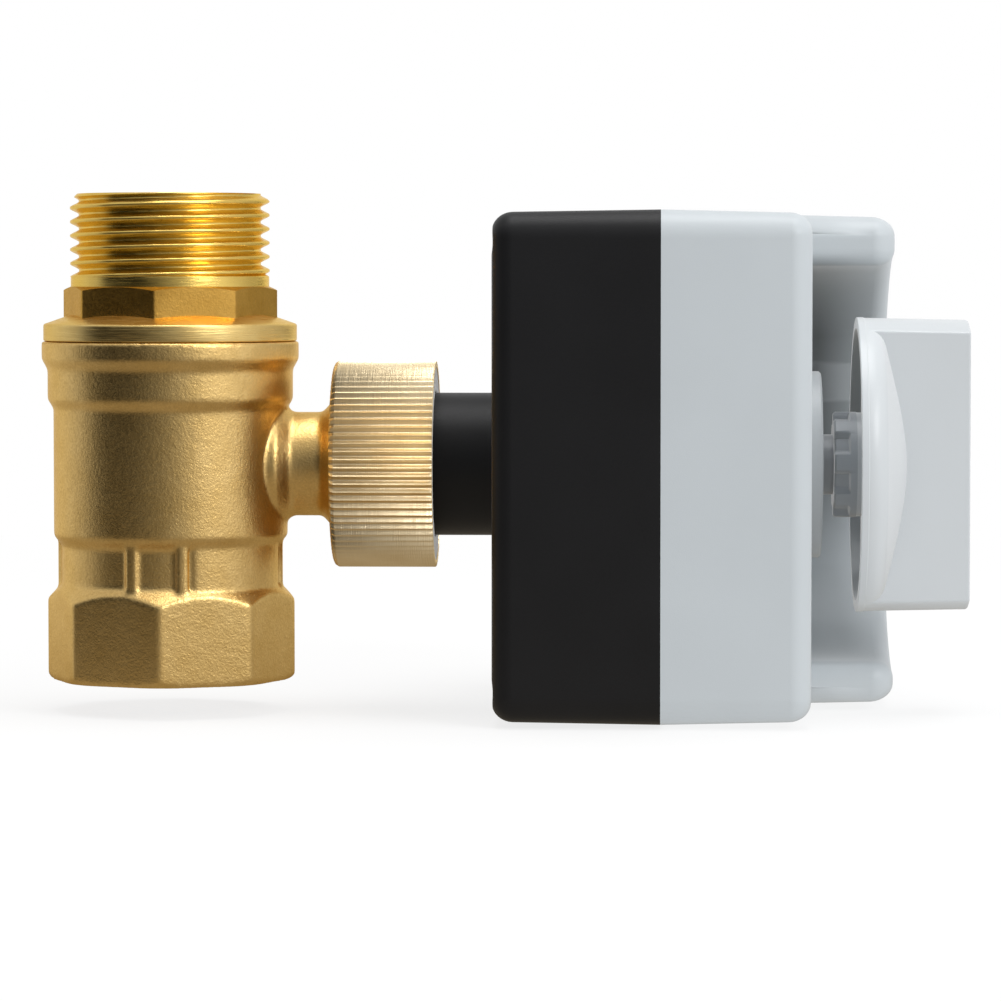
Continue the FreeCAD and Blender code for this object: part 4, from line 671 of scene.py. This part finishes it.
def painted_recess_shade(material):
    """Paint shade into the colour where little light reaches: far into the recess behind the knob."""
    tree = material.node_tree
    colour = tree.nodes["Principled BSDF"].inputs["Base Color"]
    place = add(tree, "ShaderNodeTexCoord").outputs["Object"]
    parts = add(tree, "ShaderNodeSeparateXYZ")
    tree.links.new(place, parts.inputs["Vector"])
    flat = add(tree, "ShaderNodeVectorMath", operation="MULTIPLY")
    flat.inputs[1].default_value = (0, 1, 1)
    tree.links.new(place, flat.inputs[0])
    away = add(tree, "ShaderNodeVectorMath", operation="DISTANCE")
    away.inputs[1].default_value = stem_axis * MM
    tree.links.new(flat.outputs["Vector"], away.inputs[0])
    inside = banded(tree, away.outputs["Value"], 1, 0, RECESS_RADIUS, WALL_BAND)
    past_face = banded(tree, parts.outputs["X"], 0, 1, COVER_FACE, FACE_BAND)
    near_face = banded(tree, parts.outputs["X"], DARK_AT_FACE, 0, COVER_FACE, DEPTH_BAND)
    above_stem = banded(tree, parts.outputs["Z"], 0, DARK_ABOVE_STEM, stem_z, LOWER_BAND)
    to_rim = banded(tree, parts.outputs["Z"], 1, DARK_AT_RIM, stem_z, UPPER_BAND)
    share = combined(tree, "MULTIPLY", inside, past_face, near_face, above_stem, to_rim)
    # Blend the cover's colour towards the painted shade.
    tree.links.new(blend(tree, share, colour.links[0].from_socket, RECESS_PAINTED_SHADE), colour)


BRASS_CAST = cast_brass("cast_brass", light=(0.885, 0.615, 0.25), dark=(0.79, 0.53, 0.195), depth=0.09)
BRASS_WRENCH = cast_brass("wrench_flat_brass", light=(0.66, 0.385, 0.088), dark=(0.54, 0.30, 0.06),
                          depth=0.06)
BRASS_THREAD = machined_brass("thread_brass", light=(0.88, 0.63, 0.18), dark=(0.80, 0.55, 0.14),
                              roughness=0.24, axis="Z")
BRASS_TURNED = machined_brass("turned_brass", light=(0.84, 0.62, 0.25), dark=(0.76, 0.53, 0.19),
                              roughness=0.32, axis="Z")
BRASS_NUT = machined_brass("nut_brass", light=(0.93, 0.77, 0.51), dark=(0.85, 0.68, 0.42),
                           roughness=0.36, axis="X")
BRASS_STEM = machined_brass("stem_brass", light=(0.78, 0.56, 0.24), dark=(0.66, 0.44, 0.16),
                            roughness=0.25, axis="X")
BASE_BLACK = moulded("base_black", (0.010, 0.010, 0.011), roughness=0.44, specular=0.22, change=0.1)
COVER_GREY = moulded("cover_grey", (0.54, 0.58, 0.605), roughness=0.4, specular=0.4, change=0.015)
KNOB_GREY = moulded("knob_grey", (0.60, 0.63, 0.65), roughness=0.32, grain_scale=4200, grain_depth=0.015,
                    change=0.012)
DIAL_GREY = moulded("dial_grey", (0.50, 0.53, 0.55), roughness=0.38, change=0.015)
HUB_GREY = moulded("hub_grey", (0.42, 0.45, 0.48), roughness=0.38, change=0.03)
GLAND_BLACK = moulded("gland_black", (0.014, 0.014, 0.015), roughness=0.36, change=0.1)
SWITCH_BLACK = moulded("switch_black", (0.02, 0.02, 0.021), roughness=0.3, change=0.1)
NYLON = moulded("natural_nylon", (0.74, 0.71, 0.62), roughness=0.45)
CAM_WHITE = moulded("cam_white", (0.76, 0.76, 0.73), roughness=0.4)
SEAT_WHITE = moulded("seat_white", (0.82, 0.82, 0.79), roughness=0.5)
TERMINAL_GREEN = moulded("terminal_green", (0.03, 0.24, 0.085), roughness=0.33)
BOARD_GREEN = moulded("board_green", (0.015, 0.13, 0.045), roughness=0.28, grain_scale=900,
                      grain_depth=0.01, change=0.25)
CAPACITOR_BLUE = moulded("capacitor_blue", (0.02, 0.045, 0.16), roughness=0.25)
# The nut ring's white is a painted highlight.
RING_PAINTED_HIGHLIGHT = moulded("ring_painted_highlight", (0.72, 0.70, 0.68), roughness=0.35)
RUBBER = moulded("ring_rubber", (0.018, 0.018, 0.018), roughness=0.6, grain_scale=1800, grain_depth=0.04)
CHROME = plain_metal("ball_chrome", light=(0.82, 0.82, 0.84), dark=(0.74, 0.74, 0.76), roughness=0.09)
STEEL = plain_metal("plated_steel", light=(0.62, 0.62, 0.60), dark=(0.48, 0.48, 0.47), roughness=0.3)
GEAR_STEEL = plain_metal("sintered_steel", light=(0.36, 0.35, 0.34), dark=(0.25, 0.245, 0.24),
                         roughness=0.42, scale=2400)
MOTOR_STEEL = plain_metal("motor_can_steel", light=(0.60, 0.60, 0.61), dark=(0.5, 0.5, 0.5),
                          roughness=0.26, scale=500, stretch=(4, 0.3, 0.3))

# Painted shade in the cover's recess behind the knob.
painted_recess_shade(COVER_GREY)

NODE_MATERIALS = {
    BRASS_CAST: ("valve_body",),
    BRASS_TURNED: ("end_adapter",),
    BRASS_NUT: ("union_nut",),
    BRASS_STEM: ("valve_stem",),
    CHROME: ("ball",),
    SEAT_WHITE: ("lower_seat", "upper_seat", "stem_thrust_washer"),
    RUBBER: ("adapter_o_ring", "stem_o_rings", "neck_gasket", "cover_gasket", "spindle_seal", "gland_seal"),
    BASE_BLACK: ("base_housing",),
    COVER_GREY: ("cover",),
    DIAL_GREY: ("dial_disc",),
    KNOB_GREY: ("knob",),
    HUB_GREY: ("knob_spindle",),
    STEEL: ("cover_screws", "gear_plate", "motor_plate", "plate_pillars", "plate_screws", "idler_pin",
            "output_shaft", "shaft_circlip", "switch_levers", "switch_screws", "knob_screw", "knob_spring",
            "nut_slip_ring"),
    GEAR_STEEL: ("output_gear", "motor_pinion"),
    NYLON: ("idler_gear", "lower_bush", "upper_bush"),
    MOTOR_STEEL: ("motor",),
    CAM_WHITE: ("switch_cam", "board_standoffs"),
    SWITCH_BLACK: ("open_switch", "closed_switch"),
    BOARD_GREEN: ("circuit_board",),
    TERMINAL_GREEN: ("terminal_block",),
    CAPACITOR_BLUE: ("capacitor",),
    GLAND_BLACK: ("gland_body", "gland_locknut", "gland_cap"),
}


def dress_nodes():
    """Give every CAD node its finish."""
    for material, names in NODE_MATERIALS.items():
        for name in names:
            nodes[name].data.materials.clear()
            nodes[name].data.materials.append(material)


# The cast body.

def barrel_shell():
    """The waist, barrel, band and collar, from inside the lower octagon up to the rim."""
    inside_octagon = OCTAGON_TOP - WAIST_SUNK
    return as_object(lathe(rounded_outline([
        (inside_octagon, 0, 0),
        (inside_octagon, WAIST_RADIUS, 0),
        (WAIST_TOP, WAIST_RADIUS, SOFT_EDGE),
        (WAIST_TOP + BARREL_SLOPE, BARREL_RADIUS, SHOULDER_ROUND),
        (BARREL_TOP, BARREL_RADIUS, SHOULDER_ROUND),
        (BARREL_TOP + BAND_SLOPE, BAND_RADIUS, SHOULDER_ROUND),
        (BAND_TOP, BAND_RADIUS, BAND_ROUND),
        (BAND_TOP + COLLAR_SLOPE, COLLAR_RADIUS, COLLAR_ROUND),
        (body_high.z, COLLAR_RADIUS, RIM_EDGE),
        (body_high.z, 0, 0),
    ]), Z, steps=160))


def port_shell():
    """The lower octagon, its corners turned down to the waist."""
    clear = OCTAGON_CORNER + CUTTER_PLAY
    flats = as_object(prism(8, OCTAGON_CORNER, 0, CONE_TOP + 0.5, OCTAGON_EDGE))
    cone = as_object(lathe(rounded_outline([
        (0, 0, 0),
        (0, OCTAGON_CORNER - PORT_CHAMFER, FINE_EDGE),
        (PORT_CHAMFER_HEIGHT, clear, FINE_EDGE),
        (CONE_FOOT, clear, CONE_ROUND),
        (CONE_TOP, CONE_TOP_RADIUS, 0),
        (CONE_TOP, 0, 0),
    ]), Z))
    return boolean(flats, cone, "INTERSECT")


def waist_panels():
    """Raised fields and ribs round the waist."""
    low = WAIST_FOOT - FIELD_BELOW
    high = WAIST_TOP + FIELD_ABOVE
    root = WAIST_RADIUS - FIELD_ROOT
    shells = []
    for first, last, height in WAIST_FIELDS:
        bm = bmesh.new()
        top = WAIST_RADIUS + height
        turn = Matrix.Rotation(math.radians(first), 3, "Z")
        ring = ((root, low), (top, low), (top, high), (root, high))
        face = bm.faces.new([bm.verts.new(turn @ Vector((radius, 0, z))) for radius, z in ring])
        bmesh.ops.spin(bm, geom=[face], cent=(0, 0, 0), axis=Z, angle=math.radians(last - first),
                       steps=max(3, round((last - first) / FIELD_STEP)))
        shells.append(as_object(tidy(bm)))
    return shells


def boss_shell():
    """The side boss, flared where it leaves the barrel and again under the nut."""
    return as_object(lathe(rounded_outline([
        (BOSS_START, 0, 0),
        (BOSS_START, BOSS_RADIUS + BOSS_FLARE, 0),
        (BOSS_ROOT_END, BOSS_RADIUS + BOSS_FLARE, SOFT_EDGE),
        (BOSS_NECK_START, BOSS_RADIUS, BOSS_ROUND),
        (BOSS_NECK_END, BOSS_RADIUS, SHOULDER_ROUND),
        (BOSS_CONE_END, BOSS_RADIUS + BOSS_CONE, FINE_EDGE),
        (BOSS_THREAD_START, BOSS_THREAD_ROOT, SOFT_EDGE),
        (BOSS_END, BOSS_THREAD_ROOT, 0),
        (BOSS_END, 0, 0),
    ]), X, steps=96, centre=stem_axis))


def make_body():
    """The casting's shells under one skin, then its bores, and the female thread in its port."""
    body = united([barrel_shell(), port_shell(), boss_shell(), *waist_panels()])
    skinned(body, CAST_CELL, CAST_SMOOTHING)
    passage = as_object(lathe([
        (PASSAGE_START, 0), (PASSAGE_START, PORT_RADIUS),
        (PORT_DEPTH, PORT_RADIUS), (PORT_DEPTH, FLOW_RADIUS),
        (SEAT_FOOT, FLOW_RADIUS), (SEAT_FOOT, SEAT_RADIUS),
        (CHAMBER_FOOT, SEAT_RADIUS), (CHAMBER_FOOT, CHAMBER_RADIUS),
        (CHAMBER_TOP, CHAMBER_RADIUS), (CHAMBER_TOP, SOCKET_RADIUS),
        (PASSAGE_END, SOCKET_RADIUS), (PASSAGE_END, 0),
    ], Z, steps=96))
    boolean(body, passage, "DIFFERENCE")
    stem_bore = as_object(lathe([
        (STEM_BORE_START, 0), (STEM_BORE_START, STEM_COLLAR_RADIUS),
        (STEM_COLLAR_END, STEM_COLLAR_RADIUS), (STEM_COLLAR_END, STEM_RADIUS),
        (STEM_BORE_END, STEM_RADIUS), (STEM_BORE_END, 0),
    ], X, steps=48, centre=stem_axis))
    boolean(body, stem_bore, "DIFFERENCE")
    thread = as_object(thread_tube(HAIRLINE, PORT_THREAD_TOP, PORT_THREAD_WALL,
                                   chamfer_low=PORT_THREAD_CHAMFER))
    finished(united([body, thread]), "cast_body", BRASS_CAST, "valve", sharp=40,
             replaced=["valve_body"])


# The end piece with its male thread.

def make_flange():
    """The flange, with the sleeve that goes down into the body and a cone up to the octagon."""
    flange_foot = body_high.z + HAIRLINE
    return as_object(lathe(rounded_outline([
        (end_low.z, SEAT_RADIUS, 0),
        (end_low.z, SLEEVE_RADIUS, 0),
        (flange_foot, SLEEVE_RADIUS, 0),
        (flange_foot, FLANGE_RADIUS, FLANGE_LOWER_EDGE),
        (FLANGE_TOP, FLANGE_RADIUS, FLANGE_UPPER_EDGE),
        (FLANGE_CONE_TOP, FLANGE_CONE_RADIUS, 0),
        (FLANGE_CONE_TOP, END_BORE, 0),
        (END_BORE_START, END_BORE, 0),
        (SLEEVE_SEAT_TOP, FLOW_RADIUS, 0),
        (SLEEVE_SEAT_TOP, SEAT_RADIUS, 0),
    ]), Z, steps=160))


def make_end_octagon():
    """The octagon over the flange, its upper corners turned off."""
    clear = END_OCTAGON_CORNER + CUTTER_PLAY
    flats = as_object(prism(8, END_OCTAGON_CORNER, END_OCTAGON_FOOT, END_OCTAGON_TOP, FINE_EDGE,
                            math.radians(END_OCTAGON_TURN)))
    edge = as_object(lathe(rounded_outline([
        (END_OCTAGON_FOOT, END_BORE, 0),
        (END_OCTAGON_FOOT, clear, 0),
        (END_OCTAGON_TOP - END_OCTAGON_CHAMFER, clear, FINE_EDGE),
        (END_OCTAGON_TOP, END_OCTAGON_RADIUS, END_NECK_EDGE),
        (END_OCTAGON_TOP, END_BORE, 0),
    ]), Z, steps=160))
    return boolean(flats, edge, "INTERSECT")


def make_end_thread():
    """The male thread, and the plain neck under it that ends in its undercut."""
    thread = thread_tube(END_THREAD_FOOT, end_high.z, END_BORE, chamfer_high=END_THREAD_CHAMFER)
    neck = lathe(rounded_outline([
        (END_NECK_FOOT, END_BORE, 0),
        (END_NECK_FOOT, END_NECK_RADIUS, 0),
        (END_NECK_TOP, END_NECK_RADIUS, END_NECK_EDGE),
        (UNDERCUT_TOP, UNDERCUT_RADIUS, 0),
        (UNDERCUT_TOP, END_BORE, 0),
    ]), Z)
    return united([as_object(thread), as_object(neck)])


def make_end_piece():
    """Flange, octagon and thread, each with its own brass."""
    for shape, name, material, sharp in (
            (make_flange(), "end_flange", BRASS_TURNED, 32),
            (make_end_octagon(), "end_octagon", BRASS_WRENCH, 32),
            (make_end_thread(), "end_thread", BRASS_THREAD, 60)):
        finished(shape, name, material, "valve", sharp=sharp, replaced=["end_adapter"])


# The union nut.

def make_nut():
    """The nut's blank is turned, then its outside is drawn in between the ribs."""
    start = nut_low.x
    end = nut_high.x
    bm = lathe(rounded_outline([
        (start, NUT_THREAD_RADIUS, 0),
        (start, NUT_RADIUS - NUT_CHAMFER_DEPTH, 0),
        (start + NUT_KNEE, NUT_RADIUS - NUT_KNEE_DEPTH, NUT_KNEE_ROUND),
        (start + NUT_CHAMFER, NUT_RADIUS, FINE_EDGE),
        (end - NUT_END_EDGE, NUT_RADIUS, 0),
        (end, NUT_RADIUS - NUT_END_EDGE, 0),
        (end, NUT_RADIUS - NUT_RIM, 0),
        (end - NUT_GROOVE, NUT_RADIUS - NUT_GROOVE_WALL, 0),
        (end - NUT_GROOVE, NUT_HOLE, NUT_GROOVE_EDGE),
        (end - NUT_LIP, NUT_HOLE, 0),
        (end - NUT_LIP, NUT_THREAD_RADIUS, 0),
    ], steps=3), X, steps=NUT_RIBS * NUT_STEPS_PER_RIB, centre=stem_axis)
    for vert in bm.verts:
        arm = vert.co.yz - stem_axis.yz
        above_root = arm.length - NUT_RADIUS + RIB_REACH
        if above_root < 0:
            continue
        wave = 0.5 - 0.5 * math.cos(math.atan2(arm.y, arm.x) * NUT_RIBS)
        depth = NUT_RIB_DEPTH * wave ** RIB_POWER * min(1.0, above_root * RIB_RISE)
        vert.co.yz -= arm.normalized() * depth
    finished(as_object(bm), "ribbed_nut", BRASS_NUT, "nut", sharp=60, replaced=["union_nut"])


def make_nut_ring():
    """The ring in the nut's end, round the neck, white as a painted highlight."""
    foot = nut_high.x - END_RING_FOOT
    face = nut_high.x - END_RING_SUNK
    ring = lathe(rounded_outline([
        (foot, END_RING_HOLE, 0),
        (foot, NUT_RADIUS - NUT_GROOVE_WALL, 0),
        (face, NUT_RADIUS - END_RING_WALL, END_RING_EDGE),
        (face, END_RING_HOLE, END_RING_EDGE),
    ]), X, centre=stem_axis)
    finished(as_object(ring), "nut_end_ring", RING_PAINTED_HIGHLIGHT, "nut", replaced=["union_nut"])


# The hand knob.

def make_knob():
    """A round skirt and a cone that rises into a flat-sided grip."""
    foot = knob_low.x
    top = knob_high.x
    shell = as_object(lathe(rounded_outline([
        (foot + KNOB_HOLLOW, 0, 0),
        (foot + KNOB_HOLLOW, KNOB_RADIUS - KNOB_HOLLOW_WALL, KNOB_HOLLOW_ROUND),
        (foot, KNOB_RADIUS - KNOB_LIP_WALL, 0),
        (foot, KNOB_RADIUS, KNOB_LIP_EDGE),
        (foot + KNOB_RIM_HEIGHT, KNOB_RADIUS, KNOB_RIM_EDGE),
        (foot + SKIRT_FOOT, SKIRT_RADIUS, SKIRT_FOOT_EDGE),
        (foot + SKIRT_HEIGHT, SKIRT_RADIUS, SKIRT_ROUND),
        (foot + CROWN_HEIGHT, GRIP_HALF_WIDTH, CROWN_ROUND),
        (foot + CROWN_HEIGHT + 0.01, 0, 0),
    ]), X, steps=192, centre=stem_axis))
    grip = as_object(lathe([
        (foot + GRIP_FOOT, 0), (foot + GRIP_FOOT, SKIRT_RADIUS), (top, GRIP_RADIUS), (top, 0),
    ], X, steps=192, centre=stem_axis))
    past = KNOB_RADIUS + 1
    sides = as_object(bar((foot, -GRIP_HALF_WIDTH, stem_z - past),
                          (top + 1, GRIP_HALF_WIDTH, stem_z + past)))
    boolean(grip, sides, "INTERSECT")
    eased(grip, GRIP_EDGE)
    boss_top = foot + KNOB_BOSS_HEIGHT
    boss = as_object(lathe([
        (foot, 0), (foot, KNOB_BOSS_RADIUS), (boss_top, KNOB_BOSS_RADIUS), (boss_top, 0),
    ], X, steps=48, centre=stem_axis))
    boolean(shell, grip, "UNION")
    boolean(shell, boss, "UNION")
    finished(shell, "hand_knob", KNOB_GREY, "hand_knob", sharp=30, replaced=["knob"],
             flats=True)


def make_hub():
    """The toothed hub under the knob, on its round spindle with a square foot."""
    start = knob_low.x - HUB_HEIGHT
    end = knob_low.x - HAIRLINE
    half = SPINDLE_SQUARE / 2
    hub = lathe(rounded_outline([
        (start, HUB_BORE, 0),
        (start, HUB_RADIUS - HUB_CHAMFER, 0),
        (start + HUB_CHAMFER, HUB_RADIUS, 0),
        (start + TOOTH_LENGTH, HUB_RADIUS, 0),
        (start + TOOTH_ROOT, HUB_RADIUS, 0),
        (end, HUB_RADIUS, 0),
        (end, HUB_BORE, 0),
    ]), X, steps=HUB_TEETH * HUB_STEPS_PER_TOOTH, centre=stem_axis)
    for vert in hub.verts:
        arm = vert.co.yz - stem_axis.yz
        if arm.length > SPINDLE_RADIUS and vert.co.x < start + (TOOTH_LENGTH + TOOTH_ROOT) / 2:
            turn = math.atan2(arm.y, arm.x) * HUB_TEETH + TOOTH_TURN
            slot = min(max(0.5 - TOOTH_FLANK * math.cos(turn), 0.0), 1.0)
            vert.co.yz -= arm.normalized() * TOOTH_DEPTH * slot
    shoulder = hub_low.x + SQUARE_LENGTH
    stem_end = start + SPINDLE_OVERLAP
    stem = lathe([
        (shoulder, 0), (shoulder, SPINDLE_RADIUS), (stem_end, SPINDLE_RADIUS), (stem_end, 0),
    ], X, steps=64, centre=stem_axis)
    foot = bar((hub_low.x, -half, stem_z - half), (shoulder + SQUARE_OVERLAP, half, stem_z + half))
    spindle = united([as_object(hub), as_object(stem), as_object(foot)])
    finished(spindle, "toothed_hub", HUB_GREY, "hand_knob", sharp=40,
             replaced=["knob_spindle"])


# The neck, and the box with its gland and dial.

def make_neck():
    """The neck's round skin, between the union nut and the box."""
    start = nut_high.x - NECK_UNDER_NUT
    inner = NECK_RADIUS - NECK_WALL
    neck = lathe([(start, inner), (start, NECK_RADIUS), (NECK_END, NECK_RADIUS), (NECK_END, inner)],
                 X, steps=160, centre=stem_axis)
    finished(as_object(neck), "neck_skin", BASE_BLACK, "valve")


def drafted(bm, slope):
    """Lean the box's upper and lower walls inwards, away from the parting."""
    reach = (box_high.z - box_low.z) / 2
    middle = (box_high.z + box_low.z) / 2
    for vert in bm.verts:
        height = vert.co.z / MM - middle
        share = max(abs(height) - reach + DRAFT_BAND, 0) / DRAFT_BAND
        lean = share * slope * abs(vert.co.x / MM - PARTING)
        vert.co.z -= math.copysign(lean, height) * MM


def smoothed_copy(node, name, material, body, slope=0.0):
    """A node's own shape with merged corners, so that it shades smoothly, and walls that lean by a slope."""
    bm = bmesh.new()
    bm.from_mesh(nodes[node].data)
    bmesh.ops.remove_doubles(bm, verts=bm.verts, dist=SAME_CAD_POINT)
    bmesh.ops.dissolve_limit(bm, angle_limit=math.radians(SAME_CAD_FACE), verts=bm.verts, edges=bm.edges)
    drafted(bm, slope)
    mesh = bpy.data.meshes.new(name)
    bm.to_mesh(mesh)
    bm.free()
    mesh.materials.append(material)
    mesh.shade_smooth()
    mesh.set_sharp_from_angle(angle=math.radians(30))
    thing = bpy.data.objects.new(name, mesh)
    scene.collection.objects.link(thing)
    flat_faces_first(thing)
    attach(thing, body)
    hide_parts(node)


dress_nodes()
make_neck()
make_body()
make_end_piece()
make_nut()
make_nut_ring()
make_knob()
make_hub()
smoothed_copy("base_housing", "base_shell", BASE_BLACK, "valve", slope=BASE_DRAFT)
smoothed_copy("cover", "cover_shell", COVER_GREY, "valve", slope=COVER_DRAFT)
smoothed_copy("dial_disc", "dial_ring", DIAL_GREY, "valve")
smoothed_copy("gland_cap", "gland_dome", GLAND_BLACK, "valve")
smoothed_copy("gland_body", "gland_stem", GLAND_BLACK, "valve")
smoothed_copy("ball", "polished_ball", CHROME, "drive")


# Stage, light and camera.

def keep_box_out_of_reflections():
    """The studio's light panels stand close to the brass, so the box doesn't mirror in it."""
    for name in ("base_shell", "neck_skin", "cover_shell", "dial_ring", "hand_knob", "toothed_hub"):
        bpy.data.objects[name].visible_glossy = False
    for node in nodes.values():
        node.visible_glossy = False


keep_box_out_of_reflections()

# The photograph's scale at the pipe, and where its own centre and vanishing point lie, in pixels.
PIXELS_PER_MM = 5.99
PHOTO_MIDDLE = 500.5
PIPE_COLUMN = 170.0
PORT_ROW = 679.5
VANISHING_COLUMN = 650.0
VANISHING_ROW = 270.0
FOCUS_PIXELS = 4500.0


def make_camera():
    """A long lens that looks a little down and to the left, as the photograph's does."""
    data = bpy.data.cameras.new("camera")
    data.sensor_width = 36.0
    data.lens = FOCUS_PIXELS / (PHOTO_MIDDLE * 2) * data.sensor_width
    camera = bpy.data.objects.new("camera", data)
    scene.collection.objects.link(camera)
    yaw = math.atan((VANISHING_COLUMN - PHOTO_MIDDLE) / FOCUS_PIXELS)
    pitch = math.atan((PHOTO_MIDDLE - VANISHING_ROW) / FOCUS_PIXELS)
    target = Vector(((PHOTO_MIDDLE - PIPE_COLUMN) / PIXELS_PER_MM, 0,
                     (PORT_ROW - PHOTO_MIDDLE) / PIXELS_PER_MM)) * MM
    away = Vector((math.sin(yaw) * math.cos(pitch), -math.cos(yaw) * math.cos(pitch), math.sin(pitch)))
    camera.location = target + away * (FOCUS_PIXELS / PIXELS_PER_MM * MM)
    camera.rotation_euler = (-away).to_track_quat("-Z", "Y").to_euler()
    data.clip_start = 0.01
    data.clip_end = 20
    scene.camera = camera


# How bright the studio is in each direction, in degrees to the right of the camera.
STUDIO = (
    (-180, 1.00), (-140, 0.85), (-118, 0.86), (-99, 0.64), (-88, 0.64), (-75, 0.02), (-26, 0.02),
    (0, 0.22), (20, 0.46), (36, 1.00), (66, 1.08), (82, 0.84), (104, 0.66), (122, 0.50), (150, 1.00),
)
STUDIO_LEVEL = 0.95
# The even light from above, and how far up from the horizon it begins and is whole.
CEILING = (0.72, 0.72, 0.72)
CEILING_BAND = (0.3, 0.75)

# The floor, in metres: from its middle to its edge, and how far it is under the object.
FLOOR_REACH = 3.0
FLOOR_GAP = 0.0005
FLOOR_PAPER = (0.90, 0.90, 0.90)
# How white it shows near the object, and the distances over which it grows wholly white.
WHITE_NEAR = 0.80
WHITE_BAND = (0.12, 0.5)
# The floor close to the object, as the brass mirrors it: a painted reflection, darker and warmer, and the
# distances over which the painted studio takes its place.
FLOOR_BELOW_PAINTED_REFLECTION = (0.40, 0.345, 0.26)
FLOOR_BELOW_BAND = (0.06, 0.3)
# How far the paper glows by itself, which lifts the object's undersides.
FLOOR_GLOW = 0.9
WHITE = (1.0, 1.0, 1.0)


def studio_sides(tree, place):
    """The studio's brightness round about, from a direction or a place on the floor."""
    round_about = add(tree, "ShaderNodeTexGradient", gradient_type="RADIAL")
    tree.links.new(place, round_about.inputs["Vector"])
    ramp = add(tree, "ShaderNodeValToRGB")
    stops = sorted(((0.25 + angle / 360) % 1.0, level) for angle, level in STUDIO)
    elements = ramp.color_ramp.elements
    elements[0].position = stops[0][0]
    elements[1].position = stops[-1][0]
    for position, level in stops[1:-1]:
        elements.new(position)
    for element, (position, level) in zip(elements, stops):
        element.color = (level, level, level, 1)
    tree.links.new(round_about.outputs["Color"], ramp.inputs["Fac"])
    return ramp.outputs["Color"]


def make_floor():
    """A pale floor that goes over into the white background, and keeps the object's shadow."""
    low, high = cad_box
    bm = bmesh.new()
    bmesh.ops.create_grid(bm, x_segments=1, y_segments=1, size=FLOOR_REACH)
    mesh = bpy.data.meshes.new("floor")
    bm.to_mesh(mesh)
    bm.free()
    floor = bpy.data.objects.new("floor", mesh)
    floor.location = ((low.x + high.x) / 2, 0, low.z - FLOOR_GAP)
    scene.collection.objects.link(floor)
    mesh.materials.append(floor_paper())


def floor_paper():
    """Paper that shows white to the camera, and to the brass glows as a painted reflection of the studio and
    of the floor near the object.
    """
    material, tree, shader = material_of("floor_paper")
    shader.inputs["Base Color"].default_value = (*FLOOR_PAPER, 1)
    shader.inputs["Roughness"].default_value = 0.8
    shader.inputs["Specular IOR Level"].default_value = 0.0
    place = add(tree, "ShaderNodeTexCoord").outputs["Object"]
    far = add(tree, "ShaderNodeVectorMath", operation="LENGTH")
    tree.links.new(place, far.inputs[0])
    rays = add(tree, "ShaderNodeLightPath").outputs
    fade = ranged(tree, far.outputs["Value"], WHITE_NEAR, 1.0, *WHITE_BAND)
    seen = combined(tree, "MAXIMUM", rays["Is Camera Ray"], rays["Is Transmission Ray"])
    lifted = ranged(tree, rays["Is Diffuse Ray"], 0, FLOOR_GLOW, 0, 1)
    shown = combined(tree, "MULTIPLY", seen, fade)
    share = combined(tree, "MAXIMUM", shown, rays["Is Glossy Ray"], lifted)
    outward = ranged(tree, far.outputs["Value"], 0, 1, *FLOOR_BELOW_BAND)
    # Painted reflection: the floor near the object and the studio, as the brass sees them.
    painted_reflection = blend(tree, outward, FLOOR_BELOW_PAINTED_REFLECTION, studio_sides(tree, place))
    paper = add(tree, "ShaderNodeEmission")
    tree.links.new(blend(tree, rays["Is Glossy Ray"], WHITE, painted_reflection), paper.inputs["Color"])
    mix = add(tree, "ShaderNodeMixShader")
    tree.links.new(share, mix.inputs["Fac"])
    tree.links.new(shader.outputs["BSDF"], mix.inputs[1])
    tree.links.new(paper.outputs["Emission"], mix.inputs[2])
    tree.links.new(mix.outputs["Shader"], tree.nodes["Material Output"].inputs["Surface"])
    return material


def make_world():
    """White to the camera; a studio with a dark side on the left to everything else."""
    world = bpy.data.worlds.new("studio")
    scene.world = world
    world.use_nodes = True
    tree = world.node_tree
    tree.nodes.clear()
    place = add(tree, "ShaderNodeTexCoord").outputs["Generated"]
    parts = add(tree, "ShaderNodeSeparateXYZ")
    tree.links.new(place, parts.inputs["Vector"])
    up = ranged(tree, parts.outputs["Z"], 0, 1, *CEILING_BAND)
    studio = add(tree, "ShaderNodeBackground")
    studio.inputs["Strength"].default_value = STUDIO_LEVEL
    tree.links.new(blend(tree, up, studio_sides(tree, place), CEILING), studio.inputs["Color"])
    white = add(tree, "ShaderNodeBackground")
    white.inputs["Color"].default_value = (*WHITE, 1)
    rays = add(tree, "ShaderNodeLightPath")
    mix = add(tree, "ShaderNodeMixShader")
    tree.links.new(rays.outputs["Is Camera Ray"], mix.inputs["Fac"])
    tree.links.new(studio.outputs["Background"], mix.inputs[1])
    tree.links.new(white.outputs["Background"], mix.inputs[2])
    out = add(tree, "ShaderNodeOutputWorld")
    tree.links.new(mix.outputs["Shader"], out.inputs["Surface"])


# Where the lamps point: the middle of the object, in metres.
LAMP_TARGET = Vector((0.05, 0, 0.03))


def soft_lamp(name, place, size, power):
    """A square lamp of a size in metres and a power in watts."""
    data = bpy.data.lights.new(name, "AREA")
    data.shape = "SQUARE"
    data.size = size
    data.energy = power
    lamp = bpy.data.objects.new(name, data)
    lamp.location = place
    lamp.rotation_euler = (LAMP_TARGET - Vector(place)).to_track_quat("-Z", "Y").to_euler()
    scene.collection.objects.link(lamp)


make_camera()
make_floor()
make_world()
soft_lamp("key", place=(0.80, -0.80, 0.65), size=0.5, power=5.0)
soft_lamp("top", place=(0.15, 0.0, 1.1), size=0.7, power=6.0)
scene.view_settings.view_transform = "Standard"
